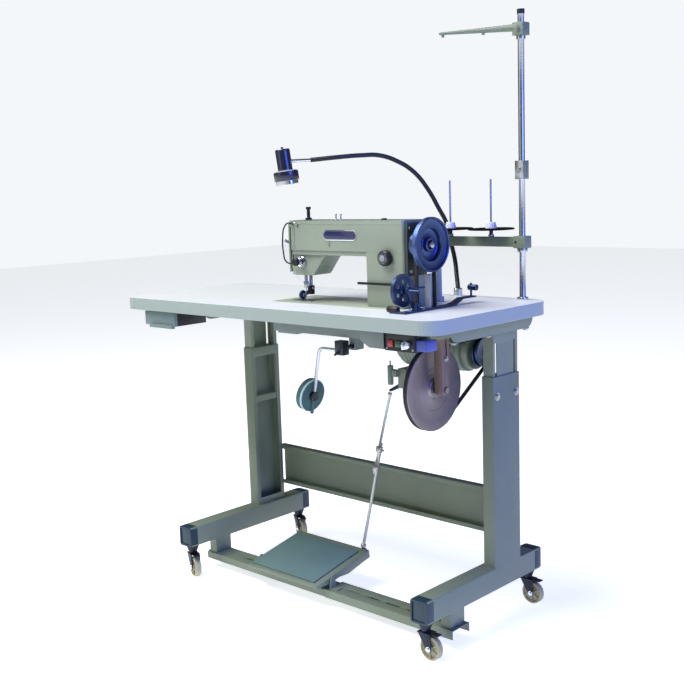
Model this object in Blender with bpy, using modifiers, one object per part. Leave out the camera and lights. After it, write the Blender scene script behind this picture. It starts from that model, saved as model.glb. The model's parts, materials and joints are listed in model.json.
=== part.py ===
"""Industrial sewing machine on a wheeled stand, as separate named pieces.

Metres, +Z up. X runs along the table to the operator's right and Y runs away
from the operator. Sizes are given about the middle of the table top; the frame
empty then moves everything so that the machine's box is centred over the origin
and its casters stand on Z = 0.
"""
import math

import bmesh
import bpy
from mathutils import Matrix, Vector

# ---------------------------------------------------------------- fits
GAP = 0.0003            # air between two pieces that touch
RUNNING = 0.0004        # air around a shaft that turns in a hole
SHEET = 0.0025          # folded sheet steel of the stand

# ---------------------------------------------------------------- table
TABLE_LENGTH = 1.220
TABLE_DEPTH = 0.508
TABLE_THICKNESS = 0.036
TABLE_TOP = 0.872
TABLE_CORNER = 0.055
TABLE_EDGE = 0.005

# ---------------------------------------------------------------- stand
STAND_X = 0.050         # middle between the two legs
STAND_Y = 0.0445        # middle of the feet
LEG_SPAN = 0.928        # between the middles of the two feet
FOOT_WIDTH = 0.052
FOOT_HEIGHT = 0.060
FOOT_LENGTH = 0.5128
FOOT_BOTTOM = 0.099
COLUMN_WIDTH = 0.038
COLUMN_DEPTH = 0.119
COLUMN_FRONT = 0.0837
COLUMN_TOP = 0.681      # top of the outer tube, where the inner one comes out
COLUMN_LIP = 0.014      # what is left of the open inward side
INNER_PLAY = 0.0008     # sliding air between the two tubes
INNER_REACH = 0.180     # how deep the inner tube stands in the outer one
BRACKET_WIDTH = 0.070
BRACKET_DROP = 0.038
BRACKET_FRONT = -0.118
BRACKET_REAR = 0.246
CROSSBAR_BOTTOM = 0.206
CROSSBAR_HEIGHT = 0.131
CROSSBAR_DEPTH = 0.025
CROSSBAR_LIP = 0.013
CROSSBAR_OVERLAP = 0.016

# ---------------------------------------------------------------- casters
WHEEL_RADIUS = 0.0315
WHEEL_WIDTH = 0.020
AXLE_RADIUS = 0.004
CASTER_TRAIL = 0.018
CASTER_INSET = 0.024    # stem from the end of the foot
FORK_PLATE = 0.0025
FORK_LENGTH = 0.046
LEFT_SWIVEL = math.radians(-20)
RIGHT_SWIVEL = math.radians(0)

# ---------------------------------------------------------------- treadle
RAIL_TOP = 0.050
RAIL_DROP = 0.024
RAIL_WIDTH = 0.074
RAIL_Y = -0.075
RAIL_SPLIT = 0.085      # left end of the right-hand rail
POST_WIDTH = 0.031
POST_DEPTH = 0.062
TREADLE_PIVOT_Y = -0.090
TREADLE_PIVOT_Z = 0.074
TREADLE_LEFT = -0.199
TREADLE_RIGHT = 0.092
TREADLE_FRONT = -0.150
TREADLE_REAR = 0.078
TREADLE_SLOPE = math.radians(11.5)
TREADLE_PLATE = 0.003
MAT_THICKNESS = 0.004
MAT_MARGIN_LEFT = 0.007
MAT_MARGIN_RIGHT = 0.022
MAT_MARGIN_FRONT = 0.012
MAT_MARGIN_REAR = 0.020
ROD_RADIUS = 0.0045
ROD_HEAD = Vector((0.146, 0.130, 0.598))
LEVER_LENGTH = 0.080

# ---------------------------------------------------------------- head
BED_LEFT = -0.078
BED_LENGTH = 0.476
BED_FRONT = -0.119
BED_DEPTH = 0.178
BED_THICKNESS = 0.012
PAN_DEPTH = 0.084       # below the table top
SHAFT_Y = -0.047        # line of the needle, the main shaft and the belt wheels
SHAFT_Z = 1.035
SHAFT_RADIUS = 0.008
NEEDLE_X = -0.008
ARM_DEPTH = 0.090
ARM_LEFT = -0.030
ARM_RIGHT = 0.391
ARM_TOP = 1.098
ARM_LEDGE = 1.017
ARM_UNDERSIDE = 1.004
PILLAR_LEFT = 0.260
NOSE_BOTTOM = 0.946
NOSE_RIGHT = 0.108
PRESSER_Y = -0.028

# ---------------------------------------------------------------- drive
BELT_X = 0.424
BELT_WIDTH = 0.010
BELT_THICKNESS = 0.005
GROOVE_RADIUS = 0.033
HANDWHEEL_RADIUS = 0.070
HANDWHEEL_FACE = 0.452
REDUCER_Z = 0.664
REDUCER_RADIUS = 0.111
REDUCER_X = 0.440
BIG_GROOVE = 0.104
MOTOR_Y = 0.179
MOTOR_Z = 0.729
MOTOR_GROOVE = 0.036
MOTOR_RADIUS = 0.058
MOTOR_LEFT = 0.200

# ---------------------------------------------------------------- worked out
TABLE_BOTTOM = TABLE_TOP - TABLE_THICKNESS
TABLE_FRONT = -TABLE_DEPTH / 2
FOOT_FRONT = STAND_Y - FOOT_LENGTH / 2
FOOT_REAR = STAND_Y + FOOT_LENGTH / 2
FOOT_TOP = FOOT_BOTTOM + FOOT_HEIGHT
COLUMN_REAR = COLUMN_FRONT + COLUMN_DEPTH
ARM_FRONT = SHAFT_Y - ARM_DEPTH / 2
ARM_REAR = SHAFT_Y + ARM_DEPTH / 2
BED_RIGHT = BED_LEFT + BED_LENGTH
BED_REAR = BED_FRONT + BED_DEPTH
BED_BOTTOM = TABLE_TOP - BED_THICKNESS
PAN_BOTTOM = TABLE_TOP - PAN_DEPTH
UNDER_TABLE = TABLE_BOTTOM - GAP
ON_TABLE = TABLE_TOP + GAP
# the machine's box runs from the table's front edge to the rear ends of the feet
CENTRE_Y = (TABLE_FRONT + max(FOOT_REAR, TABLE_DEPTH / 2)) / 2

X = Vector((1, 0, 0))
Y = Vector((0, 1, 0))
Z = Vector((0, 0, 1))


# ================================================================ tools
def clear_scene():
    for obj in list(bpy.data.objects):
        bpy.data.objects.remove(obj, do_unlink=True)


def collection(name):
    group = bpy.data.collections.new(name)
    bpy.context.scene.collection.children.link(group)
    return group


def srgb(value):
    return value / 12.92 if value <= 0.04045 else ((value + 0.055) / 1.055) ** 2.4


def material(name, hex_colour, roughness, metallic=0.0):
    mat = bpy.data.materials.new(name)
    mat.use_nodes = True
    shader = mat.node_tree.nodes["Principled BSDF"]
    channels = [srgb(int(hex_colour[i:i + 2], 16) / 255) for i in (0, 2, 4)]
    shader.inputs["Base Color"].default_value = (*channels, 1)
    shader.inputs["Roughness"].default_value = roughness
    shader.inputs["Metallic"].default_value = metallic
    return mat


def frame_to(direction):
    """Rotation that turns local Z to a direction."""
    return Vector(direction).to_track_quat("Z", "Y").to_matrix().to_4x4()


def mesh_object(name, bm, tool=False):
    mesh = bpy.data.meshes.new(name)
    bm.to_mesh(mesh)
    bm.free()
    return place(bpy.data.objects.new(name, mesh), tool)


def place(obj, tool=False):
    """Link an object under the machine's frame, or among the hidden tools."""
    (TOOLS if tool else PARTS).objects.link(obj)
    obj.parent = FRAME
    if tool:
        obj.hide_render = True
        obj.display_type = "WIRE"
    return obj


def box(name, low, high, tool=False):
    """A box between two corners."""
    low, high = Vector(low), Vector(high)
    bm = bmesh.new()
    bmesh.ops.create_cube(bm, size=1)
    bmesh.ops.scale(bm, vec=high - low, verts=bm.verts)
    bmesh.ops.translate(bm, vec=(low + high) / 2, verts=bm.verts)
    return mesh_object(name, bm, tool)


def rod(name, start, end, radius, tool=False, sides=16, end_radius=None):
    """A round bar between two points."""
    start, end = Vector(start), Vector(end)
    bm = bmesh.new()
    bmesh.ops.create_cone(bm, cap_ends=True, segments=sides, radius1=radius,
                          radius2=radius if end_radius is None else end_radius,
                          depth=(end - start).length)
    turn = Matrix.Translation((start + end) / 2) @ frame_to(end - start)
    bmesh.ops.transform(bm, matrix=turn, verts=bm.verts)
    return mesh_object(name, bm, tool)


def ball(name, centre, radius, tool=False):
    bm = bmesh.new()
    bmesh.ops.create_uvsphere(bm, u_segments=14, v_segments=8, radius=radius)
    bmesh.ops.translate(bm, vec=Vector(centre), verts=bm.verts)
    return mesh_object(name, bm, tool)


def turned(name, profile, centre, direction, tool=False, steps=32):
    """A turned shape: (radius, height) pairs, top to bottom down the outer side."""
    mesh = bpy.data.meshes.new(name)
    points = [(radius, 0, height) for radius, height in profile]
    count = len(points)
    closed = profile[0][0] > 0
    edges = [(i, i + 1) for i in range(count - 1)] + ([(count - 1, 0)] if closed else [])
    mesh.from_pydata(points, edges, [])
    obj = place(bpy.data.objects.new(name, mesh), tool)
    obj.matrix_basis = Matrix.Translation(Vector(centre)) @ frame_to(direction)
    screw = obj.modifiers.new("Turn", "SCREW")
    screw.steps = steps
    screw.render_steps = steps
    screw.use_merge_vertices = True
    screw.merge_threshold = 0.00001
    screw.use_normal_calculate = False
    return obj


def outline_curve(name, outlines, thickness):
    """A flat 2D curve, filled and given a thickness; later outlines are holes."""
    curve = bpy.data.curves.new(name, "CURVE")
    curve.dimensions = "2D"
    curve.fill_mode = "BOTH"
    curve.extrude = thickness / 2
    for outline in outlines:
        spline = curve.splines.new("POLY")
        spline.points.add(len(outline) - 1)
        for point, (u, v) in zip(spline.points, outline):
            point.co = (u, v, 0, 1)
        spline.use_cyclic_u = True
    return curve


def curve_to_mesh(name, curve, matrix, tool=False):
    """Make a curve a mesh with welded caps, its place in the given matrix."""
    guide = bpy.data.objects.new(name + "_guide", curve)
    TOOLS.objects.link(guide)
    mesh = bpy.data.meshes.new_from_object(guide.evaluated_get(bpy.context.evaluated_depsgraph_get()))
    bpy.data.objects.remove(guide)
    bm = bmesh.new()
    bm.from_mesh(mesh)
    bmesh.ops.remove_doubles(bm, verts=bm.verts, dist=0.00001)
    bmesh.ops.transform(bm, matrix=matrix, verts=bm.verts)
    bmesh.ops.recalc_face_normals(bm, faces=bm.faces)
    return mesh_object(name, bm, tool)


# A flat plate is drawn in the plane that it lies in: (x, z), (y, z) or (x, y)
PLANES = {
    "XZ": Matrix(((1, 0, 0, 0), (0, 0, -1, 0), (0, 1, 0, 0), (0, 0, 0, 1))),
    "YZ": Matrix(((0, 0, 1, 0), (1, 0, 0, 0), (0, 1, 0, 0), (0, 0, 0, 1))),
    "XY": Matrix.Identity(4),
}


def plate(name, plane, outlines, near, far, tool=False):
    """A flat plate drawn in a plane, between two distances across that plane."""
    curve = outline_curve(name, outlines, far - near)
    across = {"XZ": Y, "YZ": X, "XY": Z}[plane]
    matrix = Matrix.Translation(across * ((near + far) / 2)) @ PLANES[plane]
    return curve_to_mesh(name, curve, matrix, tool)


def tube(name, points, radius, tool=False, resolution=2):
    """A round bar along a path of points."""
    curve = bpy.data.curves.new(name, "CURVE")
    curve.dimensions = "3D"
    curve.bevel_depth = radius
    curve.bevel_resolution = resolution
    curve.use_fill_caps = True
    spline = curve.splines.new("POLY")
    spline.points.add(len(points) - 1)
    for point, where in zip(spline.points, points):
        point.co = (*where, 1)
    return curve_to_mesh(name, curve, Matrix.Identity(4), tool)


def arc(centre, radius, start, end, steps):
    """Points on an arc, angles in degrees."""
    angles = [math.radians(start + (end - start) * i / steps) for i in range(steps + 1)]
    return [(centre[0] + radius * math.cos(a), centre[1] + radius * math.sin(a)) for a in angles]


def rounded(left, low, right, high, radius, steps=6):
    """A rectangle with round corners."""
    return (arc((right - radius, low + radius), radius, -90, 0, steps)
            + arc((right - radius, high - radius), radius, 0, 90, steps)
            + arc((left + radius, high - radius), radius, 90, 180, steps)
            + arc((left + radius, low + radius), radius, 180, 270, steps))


def slot_outline(centre, length, width, upright=False, steps=5):
    """A slot with round ends."""
    half = length / 2 - width / 2
    u, v = centre
    if upright:
        return (arc((u, v + half), width / 2, 0, 180, steps)
                + arc((u, v - half), width / 2, 180, 360, steps))
    return (arc((u + half, v), width / 2, -90, 90, steps)
            + arc((u - half, v), width / 2, 90, 270, steps))


def belt_outline(first, first_radius, second, second_radius, steps=22):
    """The loop of a belt around two wheels, second wheel above or behind the first."""
    away = Vector(second) - Vector(first)
    line = math.degrees(math.atan2(away.y, away.x))
    lean = math.degrees(math.asin((first_radius - second_radius) / away.length))
    side = 90 - lean
    # corners a little outside the circle, so that the straight facets clear the wheel
    first_reach = first_radius / math.cos(math.radians(180 - side) / steps)
    second_reach = second_radius / math.cos(math.radians(side) / steps)
    return (arc(first, first_reach, line + side, line + 360 - side, steps)
            + arc(second, second_reach, line - side, line + side, steps))


def combine(obj, operation, others):
    for other in others:
        step = obj.modifiers.new(operation.title(), "BOOLEAN")
        step.operation = operation
        step.object = other
        step.solver = "EXACT"
    return obj


def join(obj, *others):
    return combine(obj, "UNION", others)


def cut(obj, *others):
    return combine(obj, "DIFFERENCE", others)


def soften(obj, width, segments=2, angle=40):
    """Round the sharp edges."""
    step = obj.modifiers.new("Round", "BEVEL")
    step.width = width
    step.segments = segments
    step.limit_method = "ANGLE"
    step.angle_limit = math.radians(angle)
    return obj


def finish(obj, mat, pivot=None):
    """Give a piece its material, and its origin on its joint's axis."""
    obj.data.materials.clear()
    obj.data.materials.append(mat)
    if pivot is not None:
        pivot = Vector(pivot)
        back = obj.matrix_basis.inverted() @ pivot
        obj.data.transform(Matrix.Translation(-back))
        obj.matrix_basis = obj.matrix_basis @ Matrix.Translation(back)
    return obj


clear_scene()
PARTS = collection("industrial_sewing_machine")
TOOLS = collection("tools")
FRAME = bpy.data.objects.new("machine_frame", None)
PARTS.objects.link(FRAME)
FRAME.location = (0, -CENTRE_Y, 0)

LAMINATE = material("table_laminate", "D9E0DA", 0.45)
STAND_PAINT = material("stand_powder_coat", "8E9A84", 0.55)
ENAMEL = material("head_enamel", "BCC4B0", 0.35)
DARK_STEEL = material("blackened_steel", "3A4250", 0.40, 0.8)
BRIGHT_STEEL = material("bright_steel", "B8BDC2", 0.28, 1.0)
CREAM_NYLON = material("cream_nylon", "D8D6B4", 0.45)
BLACK_PLASTIC = material("black_plastic", "1D1F22", 0.45)
RUBBER_MAT = material("treadle_rubber", "6E8984", 0.85)
BELT_RUBBER = material("belt_rubber", "17181C", 0.70)
SATIN_DISC = material("turned_steel", "8A807E", 0.38, 0.9)
BRACKET_PAINT = material("brown_primer", "7E6248", 0.55)
MOTOR_PAINT = material("motor_paint", "6C7A66", 0.50)
RED_PLASTIC = material("red_plastic", "9A2230", 0.40)
GREEN_PLASTIC = material("green_plastic", "1F5138", 0.40)
PAD_RUBBER = material("pad_rubber", "41605E", 0.70)
LAMP_PAINT = material("lamp_paint", "16182E", 0.35)


# ================================================================ table
def build_tabletop():
    """Laminated top with the openings for the machine's bed and its belt."""
    half = TABLE_LENGTH / 2
    outline = rounded(-half, TABLE_FRONT, half, -TABLE_FRONT, TABLE_CORNER, 8)
    top = plate("tabletop", "XY", [outline], TABLE_BOTTOM, TABLE_TOP)
    soften(top, TABLE_EDGE, 2, 60)
    play = 0.0008
    opening = box("bed_opening", (BED_LEFT - play, BED_FRONT - play, TABLE_BOTTOM - 0.01),
                  (BED_RIGHT + play, BED_REAR + play, TABLE_TOP + 0.01), True)
    slot = box("belt_opening", (BELT_X - 0.012, SHAFT_Y - 0.052, TABLE_BOTTOM - 0.01),
               (BELT_X + 0.012, SHAFT_Y + 0.052, TABLE_TOP + 0.01), True)
    finish(cut(top, opening, slot), LAMINATE)


# ================================================================ stand
def leg_sides(side):
    """X of the outer and the inner face of a leg, and the sign of its outward side."""
    foot = STAND_X + side * LEG_SPAN / 2
    outer = foot + side * FOOT_WIDTH / 2
    return foot, outer, outer - side * COLUMN_WIDTH


def between(side, near, far):
    """Two X values in rising order."""
    return (near, far) if side > 0 else (far, near)


def build_lower_leg(label, side):
    """Foot, outer column and the post down to the treadle rail, welded together."""
    foot, outer, inner = leg_sides(side)
    half = FOOT_WIDTH / 2
    leg = box(f"leg_lower_{label}", (foot - half, FOOT_FRONT, FOOT_BOTTOM),
              (foot + half, FOOT_REAR, FOOT_TOP))
    left, right = between(side, inner, outer)
    column = box("column", (left, COLUMN_FRONT, FOOT_TOP - 0.001), (right, COLUMN_REAR, COLUMN_TOP), True)
    post = box("post", (foot - POST_WIDTH / 2, RAIL_Y - POST_DEPTH / 2, RAIL_TOP + GAP),
               (foot + POST_WIDTH / 2, RAIL_Y + POST_DEPTH / 2, FOOT_BOTTOM + 0.001), True)
    hollow = box("column_hollow", (left + SHEET, COLUMN_FRONT + SHEET, FOOT_TOP - SHEET - 0.001),
                 (right - SHEET, COLUMN_REAR - SHEET, COLUMN_TOP + 0.01), True)
    foot_hollow = box("foot_hollow", (foot - half + SHEET, FOOT_FRONT + SHEET, FOOT_BOTTOM + SHEET),
                      (foot + half - SHEET, FOOT_REAR - SHEET, FOOT_TOP - SHEET), True)
    reach = between(side, inner - side * 0.01, inner + side * (SHEET + 0.002))
    window = box("column_window", (reach[0], COLUMN_FRONT + COLUMN_LIP, FOOT_TOP + 0.020),
                 (reach[1], COLUMN_REAR - COLUMN_LIP, COLUMN_TOP - 0.030), True)
    finish(cut(join(leg, column, post), foot_hollow, hollow, window), STAND_PAINT)


def build_upper_leg(label, side):
    """Inner column with its slots, welded under the bracket that carries the table."""
    _, outer, inner = leg_sides(side)
    inset = SHEET + INNER_PLAY
    left, right = between(side, inner + side * inset, outer - side * inset)
    front, rear = COLUMN_FRONT + inset, COLUMN_REAR - inset
    low = COLUMN_TOP - INNER_REACH
    middle = (left + right) / 2
    wide = BRACKET_WIDTH / 2
    drop = UNDER_TABLE - BRACKET_DROP
    corner = 0.030
    flank = (arc((BRACKET_FRONT + corner, drop + corner), corner, 180, 270, 5)
             + arc((BRACKET_REAR - corner, drop + corner), corner, 270, 360, 5)
             + [(BRACKET_REAR, UNDER_TABLE), (BRACKET_FRONT, UNDER_TABLE)])
    leg = plate(f"leg_upper_{label}", "YZ", [flank], middle - wide, middle + wide)
    underside = box("bracket_hollow", (middle - wide + SHEET, BRACKET_FRONT - 0.01, drop - 0.01),
                    (middle + wide - SHEET, BRACKET_REAR + 0.01, UNDER_TABLE - SHEET), True)
    column = box("inner_column", (left, front, low), (right, rear, UNDER_TABLE - SHEET / 2), True)
    hollow = box("inner_hollow", (left + SHEET, front + SHEET, low - 0.01),
                 (right - SHEET, rear - SHEET, UNDER_TABLE - SHEET), True)
    inward = between(side, inner - side * 0.002, inner + side * (inset + SHEET + 0.002))
    window = box("inner_window", (inward[0], front + COLUMN_LIP, low + 0.02),
                 (inward[1], rear - COLUMN_LIP, drop - 0.004), True)
    cut(leg, underside)
    join(leg, column)
    cut(leg, hollow, window)
    outward = between(side, outer - side * (inset + SHEET + 0.002), outer + side * 0.002)
    for y in (COLUMN_FRONT + 0.016, COLUMN_REAR - 0.018):
        opening = plate("height_slot", "YZ", [slot_outline((y, COLUMN_TOP - 0.010), 0.200, 0.008, True)],
                        outward[0], outward[1], True)
        cut(leg, opening)
    finish(leg, STAND_PAINT)


def build_crossbar():
    """Folded channel with turned-in lips, across the back of the two columns."""
    reach = LEG_SPAN / 2 + FOOT_WIDTH / 2 - COLUMN_WIDTH + CROSSBAR_OVERLAP
    front = COLUMN_REAR + GAP
    rear = front + CROSSBAR_DEPTH
    low, high = CROSSBAR_BOTTOM, CROSSBAR_BOTTOM + CROSSBAR_HEIGHT
    section = [(front, low), (rear, low), (rear, high), (front, high),
               (front, high - CROSSBAR_LIP), (front + SHEET, high - CROSSBAR_LIP), (front + SHEET,
                       high - SHEET),
               (rear - SHEET, high - SHEET), (rear - SHEET, low + SHEET),
               (front + SHEET, low + SHEET), (front + SHEET, low + CROSSBAR_LIP), (front,
                       low + CROSSBAR_LIP)]
    bar = plate("crossbar", "YZ", [section], STAND_X - reach, STAND_X + reach)
    finish(bar, STAND_PAINT)


def build_rail(name, left, right, top, width):
    """Upside-down channel with long slots, and the treadle's pivot ear on it."""
    low, half = RAIL_TOP - RAIL_DROP, width / 2
    rail = box(name, (left, RAIL_Y - half, low), (right, RAIL_Y + half, top))
    hollow = box("rail_hollow", (left - 0.01, RAIL_Y - half + SHEET, low - 0.01),
                 (right + 0.01, RAIL_Y + half - SHEET, top - SHEET), True)
    cut(rail, hollow)
    return rail


def rail_slots(rail, centres, top):
    for x in centres:
        cut(rail, plate("rail_slot", "XY", [slot_outline((x, RAIL_Y), 0.052, 0.007)], top - 0.006,
                        top + 0.002, True))


def pivot_ear(name, x, seat, inward):
    """Bent ear that holds the treadle's pivot pin, bolted down on a rail."""
    z = TREADLE_PIVOT_Z
    flap = [(TREADLE_PIVOT_Y + 0.012, seat), *arc((TREADLE_PIVOT_Y, z), 0.010, 0, 180, 8),
            (TREADLE_PIVOT_Y - 0.012, seat)]
    ear = plate(name, "YZ", [flap], x, x + 0.003, True)
    foot_end = x + 0.003 + inward * 0.026
    low, high = min(x, foot_end), max(x + 0.003, foot_end)
    foot = box("ear_foot", (low, TREADLE_PIVOT_Y - 0.012, seat - 0.001),
               (high, TREADLE_PIVOT_Y + 0.012, seat + 0.003), True)
    return ear, foot


def build_treadle_rails():
    """Two rails that telescope under the treadle, each with one pivot ear and pin."""
    outer_left = STAND_X - LEG_SPAN / 2 - FOOT_WIDTH / 2
    outer_right = STAND_X + LEG_SPAN / 2 + FOOT_WIDTH / 2
    inner_top = RAIL_TOP - SHEET - GAP
    pin = 0.004
    left_rail = build_rail("treadle_rail_left", outer_left, RAIL_SPLIT + 0.12, inner_top,
                           RAIL_WIDTH - 2 * (SHEET + GAP))
    pad = box("rail_pad", (outer_left, RAIL_Y - 0.030, inner_top - 0.001),
              (outer_left + 0.05, RAIL_Y + 0.030, RAIL_TOP), True)
    rail_slots(left_rail, (outer_left + 0.175, outer_left + 0.265), inner_top)
    ear_x = TREADLE_LEFT - 0.006
    ear, foot = pivot_ear("left_ear", ear_x, inner_top, -1)
    axle = rod("left_pin", (ear_x, TREADLE_PIVOT_Y, TREADLE_PIVOT_Z),
               (TREADLE_LEFT + 0.009, TREADLE_PIVOT_Y, TREADLE_PIVOT_Z), pin, True)
    finish(join(left_rail, pad, ear, foot, axle), STAND_PAINT)

    right_rail = build_rail("treadle_rail_right", RAIL_SPLIT, outer_right, RAIL_TOP, RAIL_WIDTH)
    rail_slots(right_rail, [RAIL_SPLIT + 0.075 + 0.075 * i for i in range(5)], RAIL_TOP)
    ear_x = TREADLE_RIGHT + 0.003
    ear, foot = pivot_ear("right_ear", ear_x, RAIL_TOP, 1)
    axle = rod("right_pin", (TREADLE_RIGHT - 0.009, TREADLE_PIVOT_Y, TREADLE_PIVOT_Z),
               (ear_x + 0.003, TREADLE_PIVOT_Y, TREADLE_PIVOT_Z), pin, True)
    finish(join(right_rail, ear, foot, axle), STAND_PAINT)


# ================================================================ casters
def build_caster(label, x, y, swivel):
    """Swivelling fork with its axle and brake tab, and the wheel on it."""
    turn = Matrix.Translation((x, y, 0)) @ Matrix.Rotation(swivel, 4, "Z")
    crown_top = FOOT_BOTTOM - GAP
    crown_low = 2 * WHEEL_RADIUS + 0.006
    half = WHEEL_WIDTH / 2 + 0.002 + FORK_PLATE
    stem = turned(f"caster_fork_{label}", [(0, crown_top), (0.020, crown_top), (0.020, crown_top - 0.004),
                                            (0.012, crown_low + 0.004), (0.012, crown_low + 0.001), (0,
                                                    crown_low + 0.001)],
                  (0, 0, 0), Z, steps=20)
    crown = box("crown", (-0.017, -half, crown_low), (FORK_LENGTH / 2, half, crown_low + FORK_PLATE), True)
    tab = box("brake_tab", (FORK_LENGTH / 2 - 0.001, -0.009, crown_low),
              (FORK_LENGTH / 2 + 0.022, 0.009, crown_low + FORK_PLATE), True)
    tools = [crown, tab]
    for sign in (-1, 1):
        near, far = sorted((sign * half, sign * (half - FORK_PLATE)))
        cheek = [(-0.015, crown_low + FORK_PLATE), (FORK_LENGTH / 2, crown_low + FORK_PLATE),
                 *reversed(arc((CASTER_TRAIL, WHEEL_RADIUS), 0.0085, -150, 20, 6))]
        tools.append(plate("cheek", "XZ", [cheek], near, far, True))
    tools.append(rod("axle", (CASTER_TRAIL, -half - 0.003, WHEEL_RADIUS),
                     (CASTER_TRAIL, half + 0.003, WHEEL_RADIUS), AXLE_RADIUS, True, 12))
    for piece in tools:
        piece.data.transform(turn)
    join(stem, *tools)
    stem.matrix_basis = turn @ stem.matrix_basis
    finish(stem, DARK_STEEL)

    bore = AXLE_RADIUS + RUNNING
    rim, wide = WHEEL_RADIUS, WHEEL_WIDTH / 2
    profile = [(bore, wide), (0.009, wide), (0.010, wide - 0.005), (rim - 0.007, wide - 0.005),
               (rim - 0.006, wide),
               (rim - 0.0015, wide), (rim, wide - 0.0015), (rim, -wide + 0.0015), (rim - 0.0015,
                       -wide), (rim - 0.006, -wide),
               (rim - 0.007, -wide + 0.005), (0.010, -wide + 0.005), (0.009, -wide), (bore, -wide)]
    centre = turn @ Vector((CASTER_TRAIL, 0, WHEEL_RADIUS))
    wheel = turned(f"caster_wheel_{label}", profile, centre, turn.to_3x3() @ Y, steps=20)
    finish(wheel, CREAM_NYLON)


def build_casters():
    for side_name, side, swivel in (("left", -1, LEFT_SWIVEL), ("right", 1, RIGHT_SWIVEL)):
        for end_name, y in (("front", FOOT_FRONT + CASTER_INSET), ("rear", FOOT_REAR - CASTER_INSET)):
            build_caster(f"{end_name}_{side_name}", STAND_X + side * LEG_SPAN / 2, y, swivel)


# ================================================================ treadle
def treadle_tip():
    """Matrix that tips treadle pieces, drawn flat at pivot height, to their slope."""
    return (Matrix.Translation((0, TREADLE_PIVOT_Y, TREADLE_PIVOT_Z))
            @ Matrix.Rotation(TREADLE_SLOPE, 4, "X")
            @ Matrix.Translation((0, -TREADLE_PIVOT_Y, -TREADLE_PIVOT_Z)))


def build_treadle():
    """Tipped foot plate with deeper flanges behind the rail, its rubber mat and its rod ear."""
    tip = treadle_tip()
    z = TREADLE_PIVOT_Z
    top = z + 0.0085
    flank = [(TREADLE_FRONT, top), (TREADLE_FRONT, top - 0.008), (TREADLE_PIVOT_Y, z - 0.009),
             (TREADLE_PIVOT_Y + 0.030, z - 0.009), (TREADLE_PIVOT_Y + 0.070, z - 0.018), (TREADLE_REAR,
                     z - 0.014),
             (TREADLE_REAR, top)]
    treadle = plate("treadle", "YZ", [flank], TREADLE_LEFT, TREADLE_RIGHT)
    hollow = box("treadle_hollow", (TREADLE_LEFT + SHEET, TREADLE_FRONT + SHEET, z - 0.03),
                 (TREADLE_RIGHT - SHEET, TREADLE_REAR - SHEET, top - TREADLE_PLATE), True)
    ear_top = top + 0.006
    ear = box("rod_ear", (TREADLE_RIGHT - 0.020, TREADLE_REAR - 0.014, top - 0.002),
              (TREADLE_RIGHT - 0.004, TREADLE_REAR - 0.003, ear_top), True)
    holes = []
    for x in (TREADLE_LEFT + SHEET / 2, TREADLE_RIGHT - SHEET / 2):
        holes.append(rod("pin_hole", (x - 0.004, TREADLE_PIVOT_Y, z), (x + 0.004, TREADLE_PIVOT_Y, z),
                         0.004 + 2 * RUNNING, True, 16))
    for piece in (treadle, hollow, ear, *holes):
        piece.data.transform(tip)
    finish(join(cut(treadle, hollow, *holes), ear), STAND_PAINT, (0, TREADLE_PIVOT_Y, z))

    mat = box("treadle_mat", (TREADLE_LEFT + MAT_MARGIN_LEFT, TREADLE_FRONT + MAT_MARGIN_FRONT, top + GAP),
              (TREADLE_RIGHT - MAT_MARGIN_RIGHT, TREADLE_REAR - MAT_MARGIN_REAR, top + GAP + MAT_THICKNESS))
    mat.data.transform(tip)
    finish(mat, RUBBER_MAT, (0, TREADLE_PIVOT_Y, z))
    return tip @ Vector((TREADLE_RIGHT - 0.012, TREADLE_REAR - 0.0085, ear_top))


def build_pitman_rod(seat):
    """Two-part rod with its clamps, from the treadle's ear up to the motor's lever."""
    foot = Vector((seat.x, seat.y, seat.z + 0.010))
    head = ROD_HEAD
    along = (head - foot).normalized()
    overlap = foot.lerp(head, 0.62)
    obj = rod("pitman_rod", foot, overlap + along * 0.020, ROD_RADIUS)
    aside = along.cross(Y).normalized() * (ROD_RADIUS * 1.7)
    upper = rod("upper_rod", overlap - along * 0.075 + aside, head - along * 0.014, ROD_RADIUS * 0.9, True)
    pieces = [ball("foot_joint", foot, 0.0085, True), upper]
    for share in (0.50, 0.62):
        at = foot.lerp(head, share) + aside / 2
        pieces.append(rod("clamp", at - along * 0.008, at + along * 0.008, 0.0105, True, 12))
        pieces.append(rod("clamp_screw", at, at + Vector((0.020, -0.004, 0)), 0.003, True, 8))
    pieces.append(rod("head_eye", head - along * 0.016, head - along * 0.0085, 0.0065, True, 12))
    finish(join(obj, *pieces), BRIGHT_STEEL, foot)


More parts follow.
